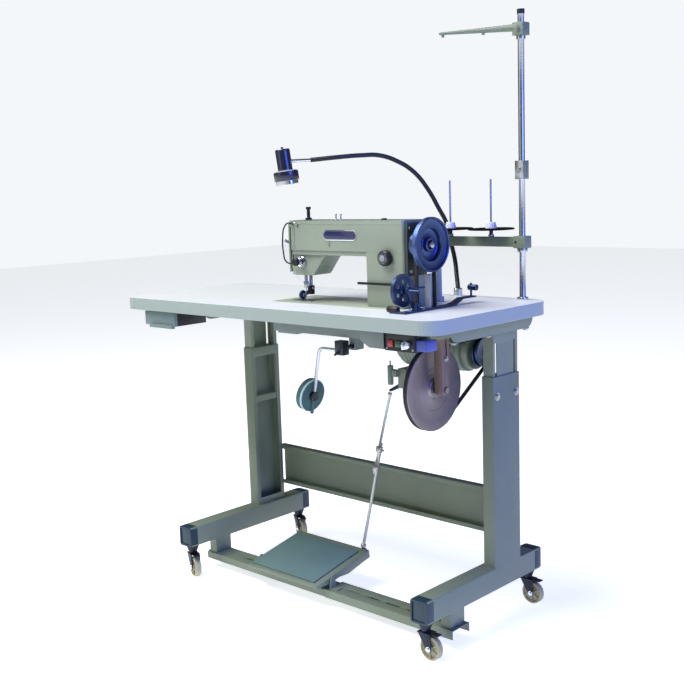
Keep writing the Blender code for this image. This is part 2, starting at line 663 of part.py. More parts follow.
# ================================================================ motor and reducer
def build_motor():
    """Motor body with its mounting cradle, shaft and end bell."""
    body = rod("motor", (MOTOR_LEFT, MOTOR_Y, MOTOR_Z), (0.400, MOTOR_Y, MOTOR_Z), MOTOR_RADIUS, sides=32)
    bell = rod("end_bell", (0.399, MOTOR_Y, MOTOR_Z), (0.422, MOTOR_Y, MOTOR_Z), MOTOR_RADIUS * 0.88, True,
               32)
    cap = rod("rear_cap", (MOTOR_LEFT - 0.018, MOTOR_Y, MOTOR_Z), (MOTOR_LEFT + 0.001, MOTOR_Y, MOTOR_Z),
              MOTOR_RADIUS * 0.8, True, 32)
    shaft = rod("motor_shaft", (0.421, MOTOR_Y, MOTOR_Z), (0.446, MOTOR_Y, MOTOR_Z), 0.008, True, 20)
    cradle = box("cradle", (0.250, MOTOR_Y - 0.040, MOTOR_Z + 0.040),
                 (0.350, MOTOR_Y + 0.040, UNDER_TABLE - 0.003), True)
    base = box("motor_base", (0.230, MOTOR_Y - 0.058, UNDER_TABLE - 0.004),
               (0.370, MOTOR_Y + 0.058, UNDER_TABLE), True)
    finish(join(body, bell, cap, shaft, cradle, base), MOTOR_PAINT)

    wide = BELT_WIDTH / 2 + 0.0008
    outer = MOTOR_GROOVE + 0.006
    left, right = REDUCER_X - wide - 0.003, REDUCER_X + wide + 0.003
    profile = [(0.008 + GAP, right - left), (outer, right - left), (outer, right - left - 0.003),
               (MOTOR_GROOVE, right - left - 0.003),
               (MOTOR_GROOVE, 0.003), (outer, 0.003), (outer, 0), (0.008 + GAP, 0)]
    pulley = turned("motor_pulley", profile, (left, MOTOR_Y, MOTOR_Z), X, steps=32)
    finish(pulley, DARK_STEEL)


def build_motor_control():
    """Control box with its spring barrel, under the motor's left end."""
    lever_z = ROD_HEAD.z
    right_end = 0.206
    left_end = 0.166
    top = MOTOR_Z - MOTOR_RADIUS - GAP - 0.001
    case = box("motor_control_box", (left_end, ROD_HEAD.y + 0.010, lever_z + 0.006),
               (right_end, ROD_HEAD.y + 0.095, top - 0.008))
    neck = box("control_neck", (left_end + 0.034, MOTOR_Y - 0.012, top - 0.012),
               (right_end, MOTOR_Y + 0.012, top), True)
    barrel = rod("spring_barrel", (ROD_HEAD.x, ROD_HEAD.y, lever_z + 0.016),
                 (ROD_HEAD.x, ROD_HEAD.y, lever_z + 0.072), 0.0085, True, 16)
    hook = rod("barrel_hook", (ROD_HEAD.x, ROD_HEAD.y, lever_z + 0.071),
               (ROD_HEAD.x, ROD_HEAD.y, lever_z + 0.086), 0.002, True, 8)
    arm = box("barrel_arm", (ROD_HEAD.x, ROD_HEAD.y - 0.003, lever_z + 0.040),
              (left_end + 0.004, ROD_HEAD.y + 0.013, lever_z + 0.060), True)
    pin = rod("lever_pin", (ROD_HEAD.x - 0.004, ROD_HEAD.y + LEVER_LENGTH, lever_z + 0.012),
              (left_end + 0.002, ROD_HEAD.y + LEVER_LENGTH, lever_z + 0.012), 0.004, True, 16)
    finish(join(case, neck, barrel, hook, arm, pin), MOTOR_PAINT)

    x = ROD_HEAD.x
    pivot = Vector((x, ROD_HEAD.y + LEVER_LENGTH, lever_z + 0.012))
    near = pivot.y - LEVER_LENGTH
    outline = [*arc((pivot.y, pivot.z), 0.009, -60, 120, 8), (near - 0.006, lever_z + 0.002),
               (near - 0.006, lever_z - 0.004), (near + 0.006, lever_z - 0.004)]
    lever = plate("motor_lever", "YZ", [outline], x - 0.002, x + 0.003)
    cut(lever, rod("lever_hole", (x - 0.01, pivot.y, pivot.z), (x + 0.01, pivot.y, pivot.z),
                   0.004 + RUNNING, True, 16))
    finish(lever, DARK_STEEL, pivot)


def build_reducer():
    """Large belt wheel and small belt wheel on one axle, hung from a two-armed bracket."""
    wide = BELT_WIDTH / 2 + 0.0008
    big_left, big_right = REDUCER_X - wide - 0.003, REDUCER_X + wide + 0.003
    small_left, small_right = BELT_X - wide - 0.002, BELT_X + wide + 0.0015
    axle = 0.008
    flange = GROOVE_RADIUS + 0.005
    start = 0.3985
    end = big_right + 0.040
    stations = [(0, end), (axle, end), (axle, big_right + 0.006), (0.026, big_right + 0.006),
                (0.028, big_right - 0.001),
                (0.088, big_right - 0.001), (0.092, big_right), (REDUCER_RADIUS,
                        big_right), (REDUCER_RADIUS, big_right - 0.003),
                (BIG_GROOVE, big_right - 0.003), (BIG_GROOVE, big_left + 0.003), (REDUCER_RADIUS,
                        big_left + 0.003), (REDUCER_RADIUS, big_left),
                (flange, big_left), (flange, small_right), (GROOVE_RADIUS,
                small_right - 0.0012), (GROOVE_RADIUS, small_left + 0.002),
                (flange, small_left + 0.002), (flange, small_left), (axle, small_left), (axle, start), (0,
                        start)]
    profile = [(radius, x - start) for radius, x in stations]
    wheel = turned("reducer_wheel", profile, (start, SHAFT_Y, REDUCER_Z), X, steps=32)
    finish(wheel, SATIN_DISC)

    half = 0.015
    outer_left = big_right + 0.010
    leg_bracket = STAND_X + LEG_SPAN / 2 + FOOT_WIDTH / 2 - COLUMN_WIDTH / 2 - BRACKET_WIDTH / 2
    outer_right = leg_bracket - 0.0012
    hanger = box("reducer_bracket", (0.3985, SHAFT_Y - 0.024, UNDER_TABLE - 0.005),
                 (outer_right, SHAFT_Y + 0.024, UNDER_TABLE))
    outer_arm = plate("outer_arm", "YZ", [[(SHAFT_Y - half, UNDER_TABLE - 0.004),
                                           *arc((SHAFT_Y, REDUCER_Z), half, 180, 360, 8), (SHAFT_Y + half,
                                                   UNDER_TABLE - 0.004)]],
                      outer_left, outer_right, True)
    inner_arm = plate("inner_arm", "YZ", [[(SHAFT_Y - half, UNDER_TABLE - 0.004),
                                           *arc((SHAFT_Y, REDUCER_Z), half, 180, 360, 8), (SHAFT_Y + half,
                                                   UNDER_TABLE - 0.004)]],
                      0.399, 0.410, True)
    bore = rod("axle_bore", (0.380, SHAFT_Y, REDUCER_Z), (0.520, SHAFT_Y, REDUCER_Z), axle + RUNNING, True,
               24)
    hollow = box("arm_hollow", (outer_left - 0.001, SHAFT_Y - half + 0.004, REDUCER_Z + 0.020),
                 (outer_right - 0.004, SHAFT_Y + half + 0.01, UNDER_TABLE - 0.012), True)
    slot = plate("belt_slot", "YZ", [slot_outline((SHAFT_Y + 0.002, 0.775), 0.045, 0.007, True)],
                 outer_right - 0.006, outer_right + 0.002, True)
    finish(cut(join(hanger, outer_arm, inner_arm), bore, hollow, slot), BRACKET_PAINT)


def belt(name, x, first, first_groove, second, second_groove):
    """A belt that rides in two grooves."""
    near = belt_outline(first, first_groove + GAP, second, second_groove + GAP)
    far = belt_outline(first, first_groove + GAP + BELT_THICKNESS, second,
                       second_groove + GAP + BELT_THICKNESS)
    loop = plate(name, "YZ", [far, near], x - BELT_WIDTH / 2, x + BELT_WIDTH / 2)
    finish(loop, BELT_RUBBER)


def build_belts():
    belt("drive_belt_upper", BELT_X, (SHAFT_Y, REDUCER_Z), GROOVE_RADIUS, (SHAFT_Y, SHAFT_Z), GROOVE_RADIUS)
    belt("drive_belt_lower", REDUCER_X, (SHAFT_Y, REDUCER_Z), BIG_GROOVE, (MOTOR_Y, MOTOR_Z), MOTOR_GROOVE)


# ================================================================ under the table
def build_switch_box():
    """Switch box with two buttons and a selector, joined to the plain supply box on its left."""
    left, right = 0.414, 0.509
    front, rear = -0.200, -0.150
    low = TABLE_BOTTOM - 0.053
    case = box("switch_box", (left, front, low), (right, rear, UNDER_TABLE))
    inlet = box("inlet_block", (right - 0.001, front + 0.004, low + 0.004),
                (right + 0.034, rear - 0.004, UNDER_TABLE - 0.022), True)
    tools = [soften(inlet, 0.002, 1)]
    seat_z = TABLE_BOTTOM - 0.034
    depth = 0.010
    for name, x, mat in (("stop_button", 0.434, RED_PLASTIC), ("start_button", 0.459, GREEN_PLASTIC)):
        half = 0.0085
        cut(case, box("button_well", (x - half - 0.0005, front - 0.01, seat_z - half - 0.0005),
                      (x + half + 0.0005, front + depth, seat_z + half + 0.0005), True))
        button = box(name, (x - half, front - 0.005, seat_z - half),
                     (x + half, front + depth - 0.004, seat_z + half))
        finish(button, mat, (x, front, seat_z))
    x = 0.489
    cut(case, rod("selector_well", (x, front - 0.01, seat_z), (x, front + depth, seat_z), 0.0045, True, 16))
    knob = turned("selector_knob", [(0, 0.018), (0.0085, 0.018), (0.0105, 0.015), (0.0115, 0.0),
                                    (0.004, 0.0), (0.004, -0.008), (0, -0.008)],
                  (x, front - GAP, seat_z), -Y, steps=20)
    grip = box("selector_grip", (x - 0.002, front - 0.024, seat_z - 0.009),
               (x + 0.002, front - 0.017, seat_z + 0.009), True)
    finish(join(knob, grip), BRIGHT_STEEL)
    supply_low = TABLE_BOTTOM - 0.050
    outline = [(0.336, supply_low + 0.016), (0.366, supply_low), (left + 0.0005, supply_low),
               (left + 0.0005, UNDER_TABLE), (0.336, UNDER_TABLE)]
    tools.append(plate("supply_box", "XZ", [outline], -0.205, -0.152, True))
    finish(join(case, *tools), BLACK_PLASTIC)


def build_drawer():
    """Small tool drawer and the folded case that carries it."""
    left, right = -0.514, -0.372
    front, rear = -0.236, BRACKET_FRONT - 0.003
    low = TABLE_BOTTOM - 0.044
    wall = 0.002
    case = box("drawer_case", (left, front + 0.006, low), (right, rear, UNDER_TABLE))
    hollow = box("case_hollow", (left + wall, front - 0.01, low + wall),
                 (right - wall, rear - wall, UNDER_TABLE - wall), True)
    finish(cut(case, hollow), BLACK_PLASTIC)
    play = 0.0008
    tray = box("drawer", (left + wall + play, front + 0.004, low + wall + play),
               (right - wall - play, rear - wall - 0.004, UNDER_TABLE - 0.008))
    inside = box("tray_hollow", (left + 2 * wall + play, front + 0.008, low + 2 * wall + play),
                 (right - 2 * wall - play, rear - 2 * wall - 0.004, UNDER_TABLE), True)
    face = box("drawer_face", (left, front - 0.006, low), (right, front + 0.006 - GAP, UNDER_TABLE - 0.003),
               True)
    lip = box("drawer_lip", (left + 0.030, front - 0.014, low - 0.006),
              (right - 0.004, front - 0.002, low + 0.004), True)
    cut(tray, inside)
    finish(join(tray, face, lip), BLACK_PLASTIC, (0, front, low))


def build_oil_pan():
    """Open tray under the bed, with the bearing of the knee lifter's shaft."""
    play = 0.002
    low = PAN_BOTTOM
    high = BED_BOTTOM - GAP
    pan = box("oil_pan", (BED_LEFT + play, BED_FRONT + play, low),
              (BED_RIGHT - play, BED_REAR - play, high))
    inside = box("pan_hollow", (BED_LEFT + play + 0.002, BED_FRONT + play + 0.002, low + 0.002),
                 (BED_RIGHT - play - 0.002, BED_REAR - play - 0.002, high + 0.01), True)
    cut(pan, inside)
    lug = box("knee_bearing", (KNEE_X - 0.011, -0.085, KNEE_Z - 0.011),
              (KNEE_X + 0.011, -0.050, low + 0.001), True)
    sump = box("sump", (BED_LEFT + 0.010, BED_FRONT + 0.010, low - 0.007),
               (BED_LEFT + 0.085, BED_REAR - 0.030, low + 0.001), True)
    join(pan, lug, sump)
    cut(pan, rod("knee_bore", (KNEE_X, -0.12, KNEE_Z), (KNEE_X, -0.04, KNEE_Z), 0.006 + RUNNING, True, 20))
    finish(pan, MOTOR_PAINT)


KNEE_X = 0.197
KNEE_Y = -0.125
KNEE_Z = 0.760


def build_knee_lifter():
    """Knee lifter: shaft, clamp block, bent rod and round pad."""
    block = box("knee_lifter", (KNEE_X - 0.016, KNEE_Y - 0.012, KNEE_Z - 0.018),
                (KNEE_X + 0.014, KNEE_Y + 0.012, KNEE_Z + 0.020))
    shaft = rod("knee_shaft", (KNEE_X, KNEE_Y, KNEE_Z), (KNEE_X, -0.045, KNEE_Z), 0.006, True, 20)
    elbow = Vector((0.112, KNEE_Y, KNEE_Z - 0.007))
    toe = Vector((0.073, KNEE_Y, 0.566))
    down = (toe - elbow).normalized()
    route = [Vector((KNEE_X - 0.010, KNEE_Y, elbow.z)), elbow + X * 0.012, elbow + X * 0.004 + down * 0.003,
             elbow + down * 0.012, toe]
    bent = tube("knee_rod", route, 0.0048, True, 2)
    hub = elbow.lerp(toe, 0.735)
    face = Vector((1, 0, -0.20)).normalized()
    pad = rod("pad", hub - face * 0.024, hub - face * 0.004, 0.046, True, 32)
    boss = rod("pad_boss", hub - face * 0.006, hub + face * 0.007, 0.014, True, 16)
    wing = rod("wing_screw", (KNEE_X - 0.004, KNEE_Y - 0.011, KNEE_Z - 0.010),
               (KNEE_X - 0.004, KNEE_Y - 0.026, KNEE_Z - 0.016), 0.003, True, 8)
    finish(join(block, shaft, bent, pad, boss, wing), PAD_RUBBER, (KNEE_X, KNEE_Y, KNEE_Z))


# ================================================================ head
def build_bed():
    """Bed plate let into the table, with the throat plate's recess and the stitching hole."""
    bed = box("bed_plate", (BED_LEFT, BED_FRONT, BED_BOTTOM), (BED_RIGHT, BED_REAR, TABLE_TOP))
    soften(bed, 0.001, 1)
    depth = 0.0025
    low = (NEEDLE_X - 0.040, SHAFT_Y - 0.024)
    high = (NEEDLE_X + 0.040, SHAFT_Y + 0.024)
    recess = box("throat_recess", (*[v - GAP for v in low], TABLE_TOP - depth),
                 (*[v + GAP for v in high], TABLE_TOP + 0.01), True)
    well = box("hook_well", (low[0] + 0.008, low[1] + 0.008, BED_BOTTOM - 0.01),
               (high[0] - 0.008, high[1] - 0.008, TABLE_TOP + 0.01), True)
    finish(cut(bed, recess, well), ENAMEL)
    throat = box("throat_plate", (*low, TABLE_TOP - depth + GAP), (*high, TABLE_TOP))
    cut(throat, rod("needle_hole", (NEEDLE_X, SHAFT_Y, TABLE_TOP - 0.01),
                    (NEEDLE_X, SHAFT_Y, TABLE_TOP + 0.01), 0.0022, True, 12))
    finish(throat, BRIGHT_STEEL)


def build_hook():
    """Rotary hook under the throat plate, on the lower shaft."""
    z = TABLE_TOP - 0.037
    hook = rod("rotary_hook", (NEEDLE_X - 0.030, SHAFT_Y, z), (NEEDLE_X - 0.010, SHAFT_Y, z), 0.018,
               sides=24)
    shaft = rod("lower_shaft", (NEEDLE_X - 0.011, SHAFT_Y, z), (PILLAR_LEFT + 0.09, SHAFT_Y, z), 0.006,
                True, 16)
    finish(join(hook, shaft), BRIGHT_STEEL)


def build_arm():
    """Arm casting: beam, ledge, nose and pillar, bored for the shaft and the two bars."""
    front, rear = ARM_FRONT, ARM_REAR
    arm = box("arm_casting", (ARM_LEFT, front, ARM_LEDGE), (ARM_RIGHT, rear, ARM_TOP))
    soften(arm, 0.006, 2)
    under = box("arm_under", (ARM_LEFT + 0.004, front + 0.004, ARM_UNDERSIDE),
                (ARM_RIGHT, rear - 0.004, ARM_LEDGE + 0.001), True)
    pillar = box("pillar", (PILLAR_LEFT, front, ON_TABLE), (ARM_RIGHT, rear, ARM_LEDGE + 0.001), True)
    nose = plate("nose", "XZ", [[(ARM_LEFT + 0.002, ARM_UNDERSIDE + 0.001),
                                 (ARM_LEFT + 0.002, NOSE_BOTTOM + 0.030), (ARM_LEFT + 0.008, NOSE_BOTTOM),
                                 (0.055, NOSE_BOTTOM), (0.062, NOSE_BOTTOM + 0.006), (NOSE_RIGHT - 0.012,
                                         ARM_UNDERSIDE - 0.012), (NOSE_RIGHT, ARM_UNDERSIDE + 0.001)]],
                 front + 0.010, rear - 0.010, True)
    join(arm, under, pillar, nose)
    room = box("head_chamber", (ARM_LEFT - 0.01, front + 0.016, NOSE_BOTTOM + 0.016),
               (NEEDLE_X + 0.022, rear - 0.014, ARM_TOP - 0.010), True)
    tunnel = box("pillar_hollow", (PILLAR_LEFT + 0.008, front + 0.008, ON_TABLE - 0.01),
                 (ARM_RIGHT - 0.008, rear - 0.008, ARM_UNDERSIDE - 0.004), True)
    bore = rod("shaft_bore", (ARM_LEFT - 0.01, SHAFT_Y, SHAFT_Z), (ARM_RIGHT + 0.01, SHAFT_Y, SHAFT_Z),
               0.014, True, 20)
    needle_bore = rod("needle_bore", (NEEDLE_X, SHAFT_Y, NOSE_BOTTOM - 0.01),
                      (NEEDLE_X, SHAFT_Y, NOSE_BOTTOM + 0.03), 0.0045 + RUNNING, True, 16)
    needle_top = rod("needle_top_bore", (NEEDLE_X, SHAFT_Y, ARM_TOP - 0.02),
                     (NEEDLE_X, SHAFT_Y, ARM_TOP + 0.01), 0.0060, True, 16)
    presser_bore = rod("presser_bore", (NEEDLE_X, PRESSER_Y, NOSE_BOTTOM - 0.01),
                       (NEEDLE_X, PRESSER_Y, NOSE_BOTTOM + 0.03), 0.005 + RUNNING, True, 16)
    screw_bore = rod("pressure_bore", (NEEDLE_X, PRESSER_Y, ARM_TOP - 0.02),
                     (NEEDLE_X, PRESSER_Y, ARM_TOP + 0.01), 0.0055 + RUNNING, True, 16)
    slit = box("take_up_slit", (ARM_LEFT + 0.0065, front - 0.01, SHAFT_Z - 0.045),
               (ARM_LEFT + 0.0125, front + 0.020, SHAFT_Z + 0.045), True)
    tension_bore = rod("tension_bore", (TENSION_X, front - 0.02, TENSION_Z),
                       (TENSION_X, front + 0.024, TENSION_Z), 0.003 + RUNNING, True, 12)
    dial_bore = rod("dial_bore", (DIAL_X, front - 0.01, DIAL_Z), (DIAL_X, front + 0.030, DIAL_Z),
                    0.005 + RUNNING, True, 16)
    finish(cut(arm, room, tunnel, bore, needle_bore, needle_top, presser_bore, screw_bore, slit,
               tension_bore, dial_bore), ENAMEL)


DIAL_X = 0.336
DIAL_Z = 1.002
TENSION_X = 0.016
TENSION_Z = 0.985


def build_covers():
    """Face plate on the left end, and the end cover behind the handwheel."""
    front, rear = ARM_FRONT, ARM_REAR
    left = ARM_LEFT - GAP
    face = box("face_plate", (left - 0.006, front + 0.008, NOSE_BOTTOM + 0.008),
               (left, rear - 0.008, ARM_TOP - 0.006))
    soften(face, 0.002, 2)
    finish(face, ENAMEL)
    right = ARM_RIGHT + GAP
    cover = box("end_cover", (right, front + 0.006, 0.955), (right + 0.008, rear - 0.006, ARM_TOP - 0.006))
    boss = rod("cover_boss", (right + 0.007, SHAFT_Y, SHAFT_Z), (right + 0.011, SHAFT_Y, SHAFT_Z), 0.036,
               True, 32)
    join(cover, boss)
    cut(cover, rod("cover_bore", (right - 0.01, SHAFT_Y, SHAFT_Z), (right + 0.03, SHAFT_Y, SHAFT_Z),
                   SHAFT_RADIUS + RUNNING, True, 24))
    finish(cover, DARK_STEEL)


def build_handwheel():
    """Dished handwheel with the belt groove on its inner side, on the main shaft."""
    inner = ARM_RIGHT + 0.0135
    face = HANDWHEEL_FACE
    half = BELT_WIDTH / 2 + 0.0008
    bore = SHAFT_RADIUS + RUNNING
    stations = [(bore, face - 0.006), (0.016, face - 0.006), (0.018, face - 0.017), (0.036, face - 0.017),
                (0.038, face - 0.008),
                (0.060, face - 0.010), (0.064, face), (HANDWHEEL_RADIUS - 0.002, face), (HANDWHEEL_RADIUS,
                        face - 0.003), (HANDWHEEL_RADIUS, face - 0.013),
                (HANDWHEEL_RADIUS - 0.003, face - 0.015), (GROOVE_RADIUS + 0.008,
                face - 0.021), (GROOVE_RADIUS + 0.007, BELT_X + half),
                (GROOVE_RADIUS, BELT_X + half - 0.0005), (GROOVE_RADIUS,
                BELT_X - half + 0.0005), (GROOVE_RADIUS + 0.007, BELT_X - half),
                (GROOVE_RADIUS + 0.007, inner + 0.002), (GROOVE_RADIUS + 0.005, inner), (bore, inner)]
    profile = [(radius, x - inner) for radius, x in stations]
    wheel = turned("handwheel", profile, (inner, SHAFT_Y, SHAFT_Z), X, steps=32)
    finish(wheel, DARK_STEEL)
    shaft = rod("main_shaft", (NEEDLE_X + 0.028, SHAFT_Y, SHAFT_Z), (face - 0.002, SHAFT_Y, SHAFT_Z),
                SHAFT_RADIUS, sides=24)
    finish(shaft, BRIGHT_STEEL, (face, SHAFT_Y, SHAFT_Z))


ROLLER_RADIUS = 0.0130
ROLLER_WIDTH = 0.0080


def build_bars():
    """Needle bar with clamp and needle, presser bar with its roller foot, and the pressure screw."""
    x = NEEDLE_X
    bar = rod("needle_bar", (x, SHAFT_Y, 0.912), (x, SHAFT_Y, SHAFT_Z + 0.030), 0.0045, sides=16)
    clamp = rod("needle_clamp", (x, SHAFT_Y, 0.907), (x, SHAFT_Y, 0.925), 0.0072, True, 12)
    clamp_screw = rod("clamp_screw", (x, SHAFT_Y, 0.915), (x + 0.013, SHAFT_Y, 0.915), 0.003, True, 8)
    needle = rod("needle", (x, SHAFT_Y, 0.908), (x, SHAFT_Y, TABLE_TOP + 0.010), 0.0011, True, 8, 0.0004)
    drive_lug = box("needle_lug", (x - 0.006, SHAFT_Y - 0.006, 0.990), (x + 0.006, SHAFT_Y + 0.006, 1.002),
                    True)
    finish(join(bar, clamp, clamp_screw, needle, drive_lug), BRIGHT_STEEL, (x, SHAFT_Y, TABLE_TOP))

    build_presser(x)

    knob = turned("pressure_screw", [(0, 0.036), (0.006, 0.036), (0.0075, 0.034), (0.0075, 0.030),
                                     (0.0048, 0.028), (0.0048, 0.006),
                                      (0.0095, 0.004), (0.0095, 0), (0.0055, 0), (0.0055, -0.016), (0,
                                              -0.016)],
                  (x, PRESSER_Y, ARM_TOP + GAP), Z, steps=16)
    finish(knob, BLACK_PLASTIC)


def build_presser(x):
    """Presser bar with its clamp and side arm, and the roller foot that turns on the arm."""
    centre = TABLE_TOP + 0.0006 + ROLLER_RADIUS
    presser = rod("presser_bar", (x, PRESSER_Y, centre + 0.006), (x, PRESSER_Y, ARM_TOP - 0.030), 0.005,
                  sides=16)
    shank = box("foot_shank", (x - 0.007, PRESSER_Y - 0.007, centre + 0.001),
                (x + 0.007, PRESSER_Y + 0.007, centre + 0.026), True)
    arm_right = x - 0.0085
    roller_right = arm_right - 0.003 - GAP
    cross = box("foot_cross", (arm_right - 0.003, PRESSER_Y - 0.005, centre + 0.002),
                (x - 0.006, PRESSER_Y + 0.005, centre + 0.012), True)
    outline = [*arc((SHAFT_Y, centre), 0.0055, 150, 320, 10), (PRESSER_Y + 0.005, centre + 0.002),
               (PRESSER_Y + 0.005, centre + 0.012), (PRESSER_Y - 0.005, centre + 0.012)]
    side_arm = plate("foot_side_arm", "YZ", [outline], arm_right - 0.003, arm_right, True)
    pin = rod("roller_pin", (roller_right - ROLLER_WIDTH - 0.0015, SHAFT_Y, centre),
              (arm_right - 0.001, SHAFT_Y, centre), 0.002, True, 16)
    clamp_screw = rod("foot_screw", (x + 0.006, PRESSER_Y, centre + 0.019),
                      (x + 0.012, PRESSER_Y, centre + 0.019), 0.004, True, 12)
    finish(join(presser, shank, cross, side_arm, pin, clamp_screw), BRIGHT_STEEL, (x, PRESSER_Y, TABLE_TOP))

    bore = 0.002 + RUNNING
    left = roller_right - ROLLER_WIDTH
    profile = [(bore, ROLLER_WIDTH), (ROLLER_RADIUS - 0.0015, ROLLER_WIDTH),
               (ROLLER_RADIUS, ROLLER_WIDTH - 0.0015),
               (ROLLER_RADIUS, 0.0015), (ROLLER_RADIUS - 0.0015, 0), (bore, 0)]
    finish(turned("foot_roller", profile, (left, SHAFT_Y, centre), X, steps=32), DARK_STEEL)


def build_take_up():
    """Take-up lever, out through the slit beside the face plate."""
    x = ARM_LEFT + 0.0080
    pivot = (SHAFT_Y + 0.006, SHAFT_Z - 0.012)
    outline = [*arc(pivot, 0.007, -120, 120, 8), (pivot[0] - 0.028, pivot[1] + 0.008),
               (ARM_FRONT - 0.019, SHAFT_Z + 0.013),
               (ARM_FRONT - 0.024, SHAFT_Z + 0.009), (ARM_FRONT - 0.020,
                                                      SHAFT_Z + 0.004), (pivot[0] - 0.028, pivot[1] + 0.001)]
    finish(plate("take_up_lever", "YZ", [outline], x, x + 0.003), BRIGHT_STEEL, (x, *pivot))


def build_controls():
    """Tension knob, stitch dial and reverse lever."""
    front = ARM_FRONT
    knob = turned("tension_knob", [(0, 0.034), (0.009, 0.034), (0.011, 0.031), (0.011, 0.022),
                                   (0.005, 0.021), (0.005, 0.012),
                                    (0.014, 0.010), (0.014, 0.003), (0.010, 0.0), (0.003, 0.0), (0.003,
                                            -0.012), (0, -0.012)],
                  (TENSION_X, front + 0.010 - GAP, TENSION_Z), -Y, steps=20)
    finish(knob, DARK_STEEL)
    dial = turned("stitch_dial", [(0, 0.019), (0.016, 0.019), (0.020, 0.016), (0.0205, 0.004), (0.016, 0.0),
                                  (0.005, 0.0), (0.005, -0.016), (0, -0.016)],
                  (DIAL_X, front - GAP, DIAL_Z), -Y, steps=24)
    finish(dial, BLACK_PLASTIC)
    y = front - 0.0075
    lever = rod("reverse_lever", (0.239, y, 0.934), (0.388, y, 0.934), 0.0035, sides=12)
    hub = rod("lever_hub", (0.382, front - GAP, 0.934), (0.382, front - 0.013, 0.934), 0.008, True, 16)
    finish(join(lever, hub), DARK_STEEL, (0.382, y, 0.934))


# ================================================================ bobbin winder
WINDER_Y = -0.139
WINDER_Z = 0.926
WINDER_RADIUS = 0.042


def build_winder():
    """Bobbin winder: long base with the belt-guard strip and thread post, tilting frame, wheel."""
    sole = [(0.414, -0.180), (0.466, -0.180), (0.466, 0.030), (0.442, 0.030), (0.442, -0.162),
            (0.414, -0.162)]
    base = plate("winder_base", "XY", [sole], ON_TABLE, ON_TABLE + 0.005)
    pieces = [rod("foot_knob", (0.404, -0.172, ON_TABLE + 0.0095), (0.436, -0.172, ON_TABLE + 0.0095),
                  0.008, True, 16),
              box("knob_seat", (0.416, -0.176, ON_TABLE + 0.002), (0.432, -0.168, ON_TABLE + 0.008), True)]
    strip_x = 0.440
    angle = [(strip_x, -0.070), (strip_x + 0.018, -0.070), (strip_x + 0.018, -0.067),
             (strip_x + 0.003, -0.067),
             (strip_x + 0.003, -0.044), (strip_x, -0.044)]
    pieces.append(plate("guard_strip", "XY", [angle], ON_TABLE + 0.002, 0.962, True))
    pieces.append(box("hinge_block", (0.446, -0.130, ON_TABLE + 0.003), (0.460, -0.112, ON_TABLE + 0.022),
                      True))
    bend = [(0.018, ON_TABLE + 0.001), (0.032, ON_TABLE + 0.001), (0.062, ON_TABLE + 0.014),
            (0.120, ON_TABLE + 0.014),
            (0.120, ON_TABLE + 0.018), (0.060, ON_TABLE + 0.018), (0.028, ON_TABLE + 0.007), (0.018,
                    ON_TABLE + 0.007)]
    pieces.append(plate("bent_strip", "YZ", [bend], 0.443, 0.463, True))
    pieces.append(rod("thread_post", (0.451, 0.112, ON_TABLE + 0.016), (0.451, 0.112, ON_TABLE + 0.052),
                      0.003, True, 10))
    pieces.append(rod("thread_tension", (0.444, 0.112, ON_TABLE + 0.040), (0.470, 0.112, ON_TABLE + 0.040),
                      0.008, True, 16))
    base = join(base, *pieces)
    cut(base, rod("guard_hole", (strip_x - 0.01, -0.057, 0.945), (strip_x + 0.01, -0.057, 0.945), 0.004,
                  True, 10),
        rod("hinge_bore", (0.440, -0.121, ON_TABLE + 0.014), (0.470, -0.121, ON_TABLE + 0.014),
            0.003 + RUNNING, True, 12))
    finish(base, DARK_STEEL)

    pivot = Vector((0.453, -0.121, ON_TABLE + 0.014))
    hub = (WINDER_Y, WINDER_Z)
    web = [*arc(hub, 0.010, -20, 160, 8), *arc((pivot.y, pivot.z), 0.007, 180, 340, 8)]
    frame = plate("winder_frame", "YZ", [web], 0.4395, 0.4445)
    pin = rod("frame_pin", (0.440, pivot.y, pivot.z), (0.464, pivot.y, pivot.z), 0.003, True, 12)
    spindle = rod("spindle", (BELT_X - 0.012, *hub), (0.440, *hub), 0.004, True, 12)
    bobbin_end = rod("bobbin_spindle", (0.444, *hub), (0.478, *hub), 0.0035, True, 12)
    trip = rod("trip_lever", (0.443, WINDER_Y + 0.006, WINDER_Z + 0.004),
               (0.472, WINDER_Y + 0.030, WINDER_Z + 0.008), 0.003, True, 8)
    finish(join(frame, pin, spindle, bobbin_end, trip), DARK_STEEL, pivot)

    half = BELT_WIDTH / 2
    radius = WINDER_RADIUS
    profile = [(0.004 + RUNNING, half + 0.002), (0.010, half + 0.002), (0.012, half - 0.003),
               (radius - 0.008, half - 0.003), (radius - 0.006, half),
               (radius, half), (radius, -half), (radius - 0.006, -half), (radius - 0.008,
                       -half + 0.003), (0.012, -half + 0.003), (0.010, -half), (0.004 + RUNNING, -half)]
    wheel = turned("winder_wheel", profile, (BELT_X, *hub), X, steps=24)
    for i in range(6):
        angle = math.radians(30 + 60 * i)
        y, z = WINDER_Y + 0.022 * math.cos(angle), WINDER_Z + 0.022 * math.sin(angle)
        cut(wheel, rod("wheel_hole", (BELT_X - 0.02, y, z), (BELT_X + 0.02, y, z), 0.005, True, 8))
    finish(wheel, DARK_STEEL)


def build_rest_post():
    """Padded post that the head leans on when it is tipped back."""
    post = rod("head_rest_post", (0.368, 0.080, ON_TABLE), (0.368, 0.080, 0.965), 0.0085, sides=16)
    finish(join(post, rod("rest_socket", (0.368, 0.080, ON_TABLE), (0.368, 0.080, ON_TABLE + 0.014), 0.014,
                          True, 16)), BRACKET_PAINT)


